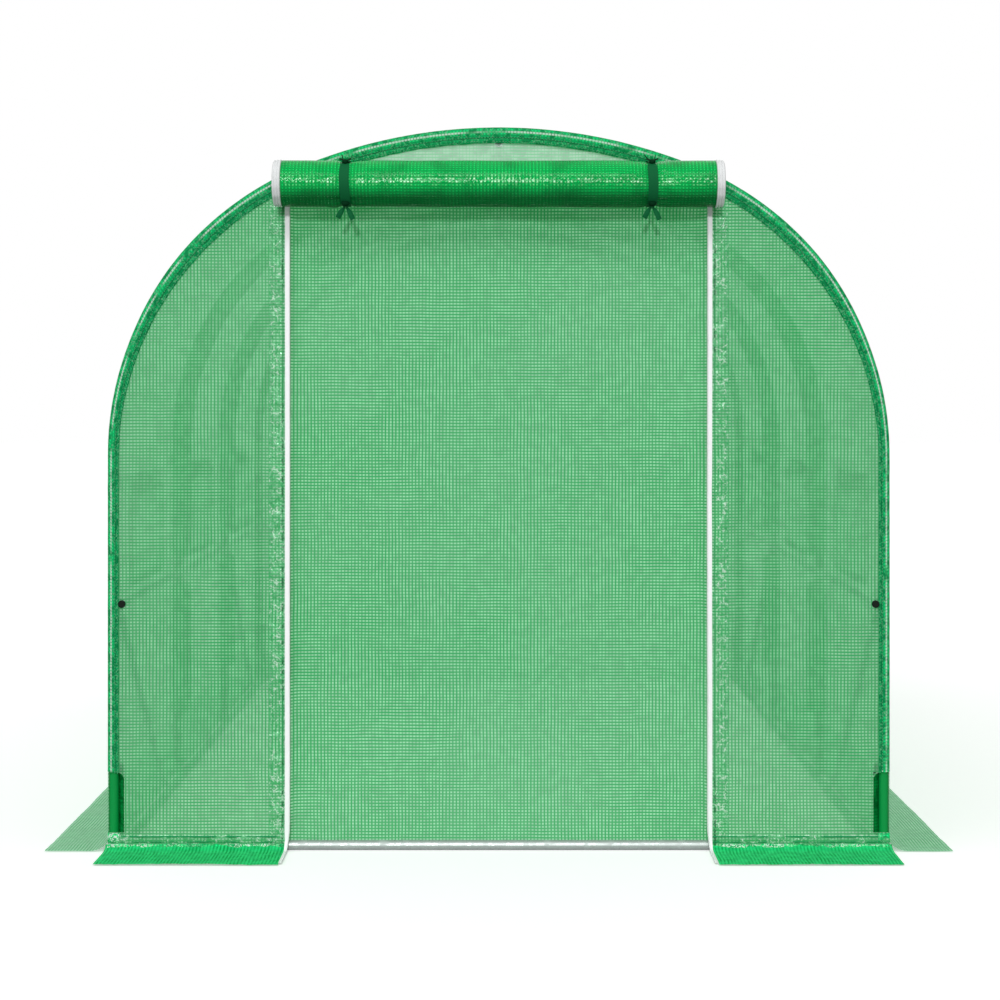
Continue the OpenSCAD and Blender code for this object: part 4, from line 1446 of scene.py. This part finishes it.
class TUNNEL_OT_windows(bpy.types.Operator):
    """Fit the net windows with their bindings and roll up their flaps"""

    bl_idname = "tunnel.windows"
    bl_label = "Windows"

    # How far nets and flaps lap over the cover, the seams of a flap, and the width of a binding
    LAP, SEAMS, BINDING_WIDTH = 0.018, 0.060, 0.025
    # Width of the ties, and how far out they sit as a share of half the window
    TIE_WIDTH, TIE_SHARE = 0.015, 0.62

    def execute(self, context):
        s = context.scene.tunnel_sizes
        nets, bindings, flaps, ties = [], [], [], []
        for side in (LEFT, RIGHT):
            for centre in bay_middles():
                nets.append(self.net(s, side, centre))
                bindings.append(self.binding(s, side, centre))
                flaps.append(self.flap(s, side, centre))
                ties += [self.tie(s, side, centre + k * s.window_half * self.TIE_SHARE) for k in (-1, 1)]
        net = sheet_piece("window_net_sheets", nets, "net", "net", "window_nets")
        binding = sheet_piece("window_bindings", bindings, "sleeve", "cover_band")
        flap = sheet_piece("window_flaps", flaps, "roll", "rolled_sheet", "window_flap_rolls")
        tie = sheet_piece("window_ties", ties, "ribbon", "tie_ribbon")
        sewn_strips(tie, self.TIE_WIDTH)
        return {"FINISHED"}

    def net(self, s, side, centre):
        plane = float(node_box("window_nets")[1][0]) - 0.0055
        half = s.window_half + self.LAP
        y = marks(centre - half, centre + half, 0.03)[:, None]
        z = marks(s.window_sill - self.LAP, s.window_head + self.LAP, 0.03)[None, :]
        x = plane - 0.002 * wave(y * 6, z * 5, 601) - 0.004
        return Patch((side * x, y, z), (y, z), flip=side == LEFT)

    def binding(self, s, side, centre):
        """A sewn frame round the window with rounded corners."""
        mid_z, half_h = (s.window_sill + s.window_head) / 2, (s.window_head - s.window_sill) / 2
        turn = np.linspace(0, 2 * math.pi, 97)[:, None]
        share = np.linspace(0, 1, 5)[None, :]

        def rounded(grow, corner):
            w, h = s.window_half + grow - corner, half_h + grow - corner
            cosine, sine = np.cos(turn), np.sin(turn)
            return w * np.sign(cosine) + corner * cosine, h * np.sign(sine) + corner * sine

        ay, az = rounded(-0.005, 0.016)
        by, bz = rounded(self.BINDING_WIDTH - 0.005, self.BINDING_WIDTH + 0.016)
        y, z = centre + ay + (by - ay) * share, mid_z + az + (bz - az) * share
        puff = 4 * share * (1 - share)
        wall = s.half_span + s.cover_offset + 0.0006 - 0.0062
        x = wall + 0.0022 * puff + 0.0005 * wave(y * 60, z * 60, 611)
        return Patch((side * x, y, z), (y, z), flip=side == RIGHT)

    def roll(self, s):
        """The radius of a rolled flap and its middle, on X and Z."""
        wall = s.half_span + s.cover_offset
        radius = (float(node_box("window_flap_rolls")[1][0]) - wall) / 2 - 0.0012
        return radius, wall + 0.0012 + radius, s.window_head + radius + 0.004

    def flap(self, s, side, centre):
        """A flap from its seam on the cover down and into its roll."""
        r0, cx, cz = self.roll(s)
        half = s.window_half + self.LAP
        y = marks(centre - half, centre + half, 0.014)[:, None]
        turn = np.linspace(0, 2 * math.pi * 3.2, 96)[None, :]
        out = s.window_half * self.TIE_SHARE
        ties = sum(np.exp(-(((y - centre - k * out) / 0.014) ** 2)) for k in (-1, 1))
        r = r0 - 0.0045 * np.maximum(turn / (2 * math.pi) - 0.5, 0) - 0.0025 * ties
        r = r + 0.0008 * wave(y * 20, turn * 1.6, 621) - 0.0008
        sheet_x, sheet_z = cx - r * np.cos(turn), cz - r * np.sin(turn)
        tail_z = np.linspace(cz + 0.030, cz, 4)[None, :-1]
        tail_x = np.full_like(tail_z, s.half_span + s.cover_offset + 0.0008)
        x = np.concatenate([tail_x + 0 * y, sheet_x + 0 * y], axis=1)
        z = np.concatenate([tail_z + 0 * y, sheet_z + 0 * y], axis=1)
        along = np.linspace(0, 0.34, x.shape[1])[None, :]
        return Patch((side * x, y, z), (y + 0 * x, along + 0 * y), flip=side == LEFT)

    def tie(self, s, side, where):
        r0, cx, cz = self.roll(s)
        turn = np.linspace(-0.5, 2 * math.pi - 0.5, 41)[:, None]
        across = np.linspace(-0.5, 0.5, 4)[None, :] * self.TIE_WIDTH + 0 * turn
        r = r0 - 0.0018 + 0 * across
        x = cx - r * np.cos(turn)
        z = cz - r * np.sin(turn)
        return Patch((side * x, where + across, z), (across, r * turn), flip=side == RIGHT)


class TUNNEL_OT_stitches(bpy.types.Operator):
    """Run the lines of stitches along the bands and hems"""

    bl_idname = "tunnel.stitches"
    bl_label = "Stitches"

    # Lines on the bands by their offset from the tube's centre, on the zip hems by their distance from the
    # panel's edge, and on the foot hems by their height
    BAND_LINES, ZIP_LINES, FOOT_LINES = (-0.0082, -0.0190), (0.004, 0.037), (0.033, 0.020)
    # Pitch, length and radius of a stitch
    PITCH, STITCH, RADIUS = 0.0075, 0.0046, 0.0005

    def execute(self, context):
        s = context.scene.tunnel_sizes
        arch = Arch(s)
        inner = s.door_half + s.zip_width / 2
        outer = s.half_span + s.cover_offset
        lines = []
        for end in (FRONT, BACK):
            along = marks(s.slot_top, arch.length(0.0) - s.slot_top, 0.02)
            narrow = band_share(arch.at(along, 0.0)[1])
            y = end_face(end) + end * 0.0026
            for off in self.BAND_LINES:
                x, z, _, _ = arch.at(along * arch.length(off) / arch.length(0.0), off * narrow)
                lines.append(np.stack([x, np.full_like(x, y), z], axis=1))
        for side in (LEFT, RIGHT):
            for offset in self.ZIP_LINES:
                z = marks(0.03, s.door_top - 0.04, 0.02)
                x = side * (inner + offset) + 0 * z
                lines.append(np.stack([x, panel_y(s, arch, x, z, FRONT) - 0.0030, z], axis=1))
            for level in self.FOOT_LINES:
                x = side * marks(inner + 0.01, outer - 0.004, 0.02)
                y = panel_y(s, arch, x, level, FRONT) - 0.0034
                lines.append(np.stack([x, y, np.full_like(x, level)], axis=1))
        pitch = self.PITCH
        stitches = rods_along("stitches", lines, pitch, self.STITCH, self.RADIUS, Finishes.get("stitch"))
        settle(stitches, "cover_band")
        return {"FINISHED"}


class TUNNEL_OT_bolts(bpy.types.Operator):
    """Put a bolt where each rail crosses a hoop"""

    bl_idname = "tunnel.bolts"
    bl_label = "Bolts"

    # How far a bolt's line is sunk into the tube and stands out, and the length and radius of the head on it
    SUNK, PROUD, HEAD_LENGTH, HEAD_RADIUS = 0.0006, 0.0052, 0.0050, 0.0055
    # Radius of the side rails, and the clearance between a base rail and a hoop
    RAIL_RADIUS, CLEARANCE = 0.0095, 0.0003
    # A pitch longer than any bolt, so that each gets one head
    PITCH = 0.1

    def execute(self, context):
        s = context.scene.tunnel_sizes
        heads = []
        for y in hoop_y():
            for side in (LEFT, RIGHT):
                heads.append(self.head(side, s.rail_x - self.RAIL_RADIUS, y, s.rail_z))
        base_rail = s.half_span - 2 * s.tube_radius - self.CLEARANCE - s.tube_radius
        for y in hoop_y()[1:3]:
            for side in (LEFT, RIGHT):
                heads.append(self.head(side, base_rail, y, s.tube_radius))
        ridge = float(node_box("ridge_pole")[0][2])
        for y in hoop_y():
            heads.append([(0.0, y, ridge + self.SUNK), (0.0, y, ridge - self.PROUD)])
        size = (self.HEAD_LENGTH, self.HEAD_RADIUS)
        bolts = rods_along("rail_bolts", heads, self.PITCH, *size, Finishes.get("zinc"))
        settle(bolts, "galvanised_tube")
        return {"FINISHED"}

    def head(self, side, reach, y, z):
        """The line of a bolt that points inwards from the inner side of a rail."""
        tip = side * reach
        return [(tip + side * self.SUNK, y, z), (tip - side * self.PROUD, y, z)]


class TUNNEL_OT_stage(bpy.types.Operator):
    """Set the floor, the light and the camera"""

    bl_idname = "tunnel.stage"
    bl_label = "Stage"

    FLOOR_HALF = 40.0
    # Camera place, focal length and sensor width in millimetres, and shift of the picture
    CAMERA, LENS, SENSOR, SHIFT = (0.0033, -6.515, 1.165), 70.48, 36.0, -0.105
    # Light of the world on the object, compared with how it is seen
    WORLD_LIGHT = 0.5
    # Name, direction, strength and spread in degrees of each lamp
    SUNS = (
        ("Key", (0.0, 0.72, -0.69), 1.05, 20.0),
        ("Front", (0.05, 0.965, -0.24), 1.2, 3.5),
        ("Fill", (0.7, 0.5, -0.6), 0.35, 60.0),
    )

    def execute(self, context):
        scene = context.scene
        mesh = bpy.data.meshes.new("floor")
        h = self.FLOOR_HALF
        mesh.from_pydata([(-h, -h, 0), (h, -h, 0), (h, h, 0), (-h, h, 0)], [], [(0, 1, 2, 3)])
        mesh.materials.append(Finishes.get("floor"))
        floor = bpy.data.objects.new("floor", mesh)
        scene.collection.objects.link(floor)
        world = bpy.data.worlds.new("Studio")
        scene.world = world
        g = Graph(world)
        light = seen_directly(g) * (1.0 - self.WORLD_LIGHT) + self.WORLD_LIGHT
        g.finish(g.node("ShaderNodeBackground", {}, {"Color": (1.0, 1.0, 1.0, 1.0), "Strength": light})[0])
        for sun in self.SUNS:
            self.sun(*sun)
        data = bpy.data.cameras.new("Camera")
        camera = bpy.data.objects.new("Camera", data)
        scene.collection.objects.link(camera)
        data.sensor_width = self.SENSOR
        data.lens = self.LENS
        data.shift_y = self.SHIFT
        camera.location = self.CAMERA
        camera.rotation_euler = (math.pi / 2, 0.0, 0.0)
        data.clip_end = 200.0
        scene.camera = camera
        scene.view_settings.view_transform = "Standard"
        return {"FINISHED"}

    def sun(self, name, way, strength, spread):
        data = bpy.data.lights.new(name, "SUN")
        data.energy = strength
        data.angle = math.radians(spread)
        lamp = bpy.data.objects.new(name, data)
        lamp.rotation_euler = Vector(way).to_track_quat("-Z", "Y").to_euler()
        bpy.context.scene.collection.objects.link(lamp)


class TUNNEL_PT_panel(bpy.types.Panel):
    """Sizes, colours and build steps of the tunnel"""

    bl_idname = "TUNNEL_PT_panel"
    bl_label = "Polytunnel greenhouse"
    bl_space_type = "VIEW_3D"
    bl_region_type = "UI"
    bl_category = "Tunnel"

    def draw(self, context):
        layout = self.layout
        for group in (context.scene.tunnel_sizes, context.scene.tunnel_colours):
            box = layout.box()
            for name in group.__annotations__:
                box.prop(group, name)
        for operator in OPERATORS:
            layout.operator(operator.bl_idname)


OPERATORS = (
    TUNNEL_OT_frame_finish,
    TUNNEL_OT_cover,
    TUNNEL_OT_end_panels,
    TUNNEL_OT_edge_bands,
    TUNNEL_OT_hoop_sleeves,
    TUNNEL_OT_skirts,
    TUNNEL_OT_hems,
    TUNNEL_OT_net_door,
    TUNNEL_OT_rolled_door,
    TUNNEL_OT_roll_ties,
    TUNNEL_OT_door_zips,
    TUNNEL_OT_windows,
    TUNNEL_OT_stitches,
    TUNNEL_OT_bolts,
    TUNNEL_OT_stage,
)
CLASSES = (TunnelSizes, TunnelColours, *OPERATORS, TUNNEL_PT_panel)


def register():
    for cls in CLASSES:
        bpy.utils.register_class(cls)
    bpy.types.Scene.tunnel_sizes = PointerProperty(type=TunnelSizes)
    bpy.types.Scene.tunnel_colours = PointerProperty(type=TunnelColours)


def unregister():
    del bpy.types.Scene.tunnel_colours
    del bpy.types.Scene.tunnel_sizes
    for cls in reversed(CLASSES):
        bpy.utils.unregister_class(cls)


def main():
    register()
    for operator in OPERATORS:
        group, name = operator.bl_idname.split(".")
        getattr(getattr(bpy.ops, group), name)()


if __name__ == "__main__":
    main()
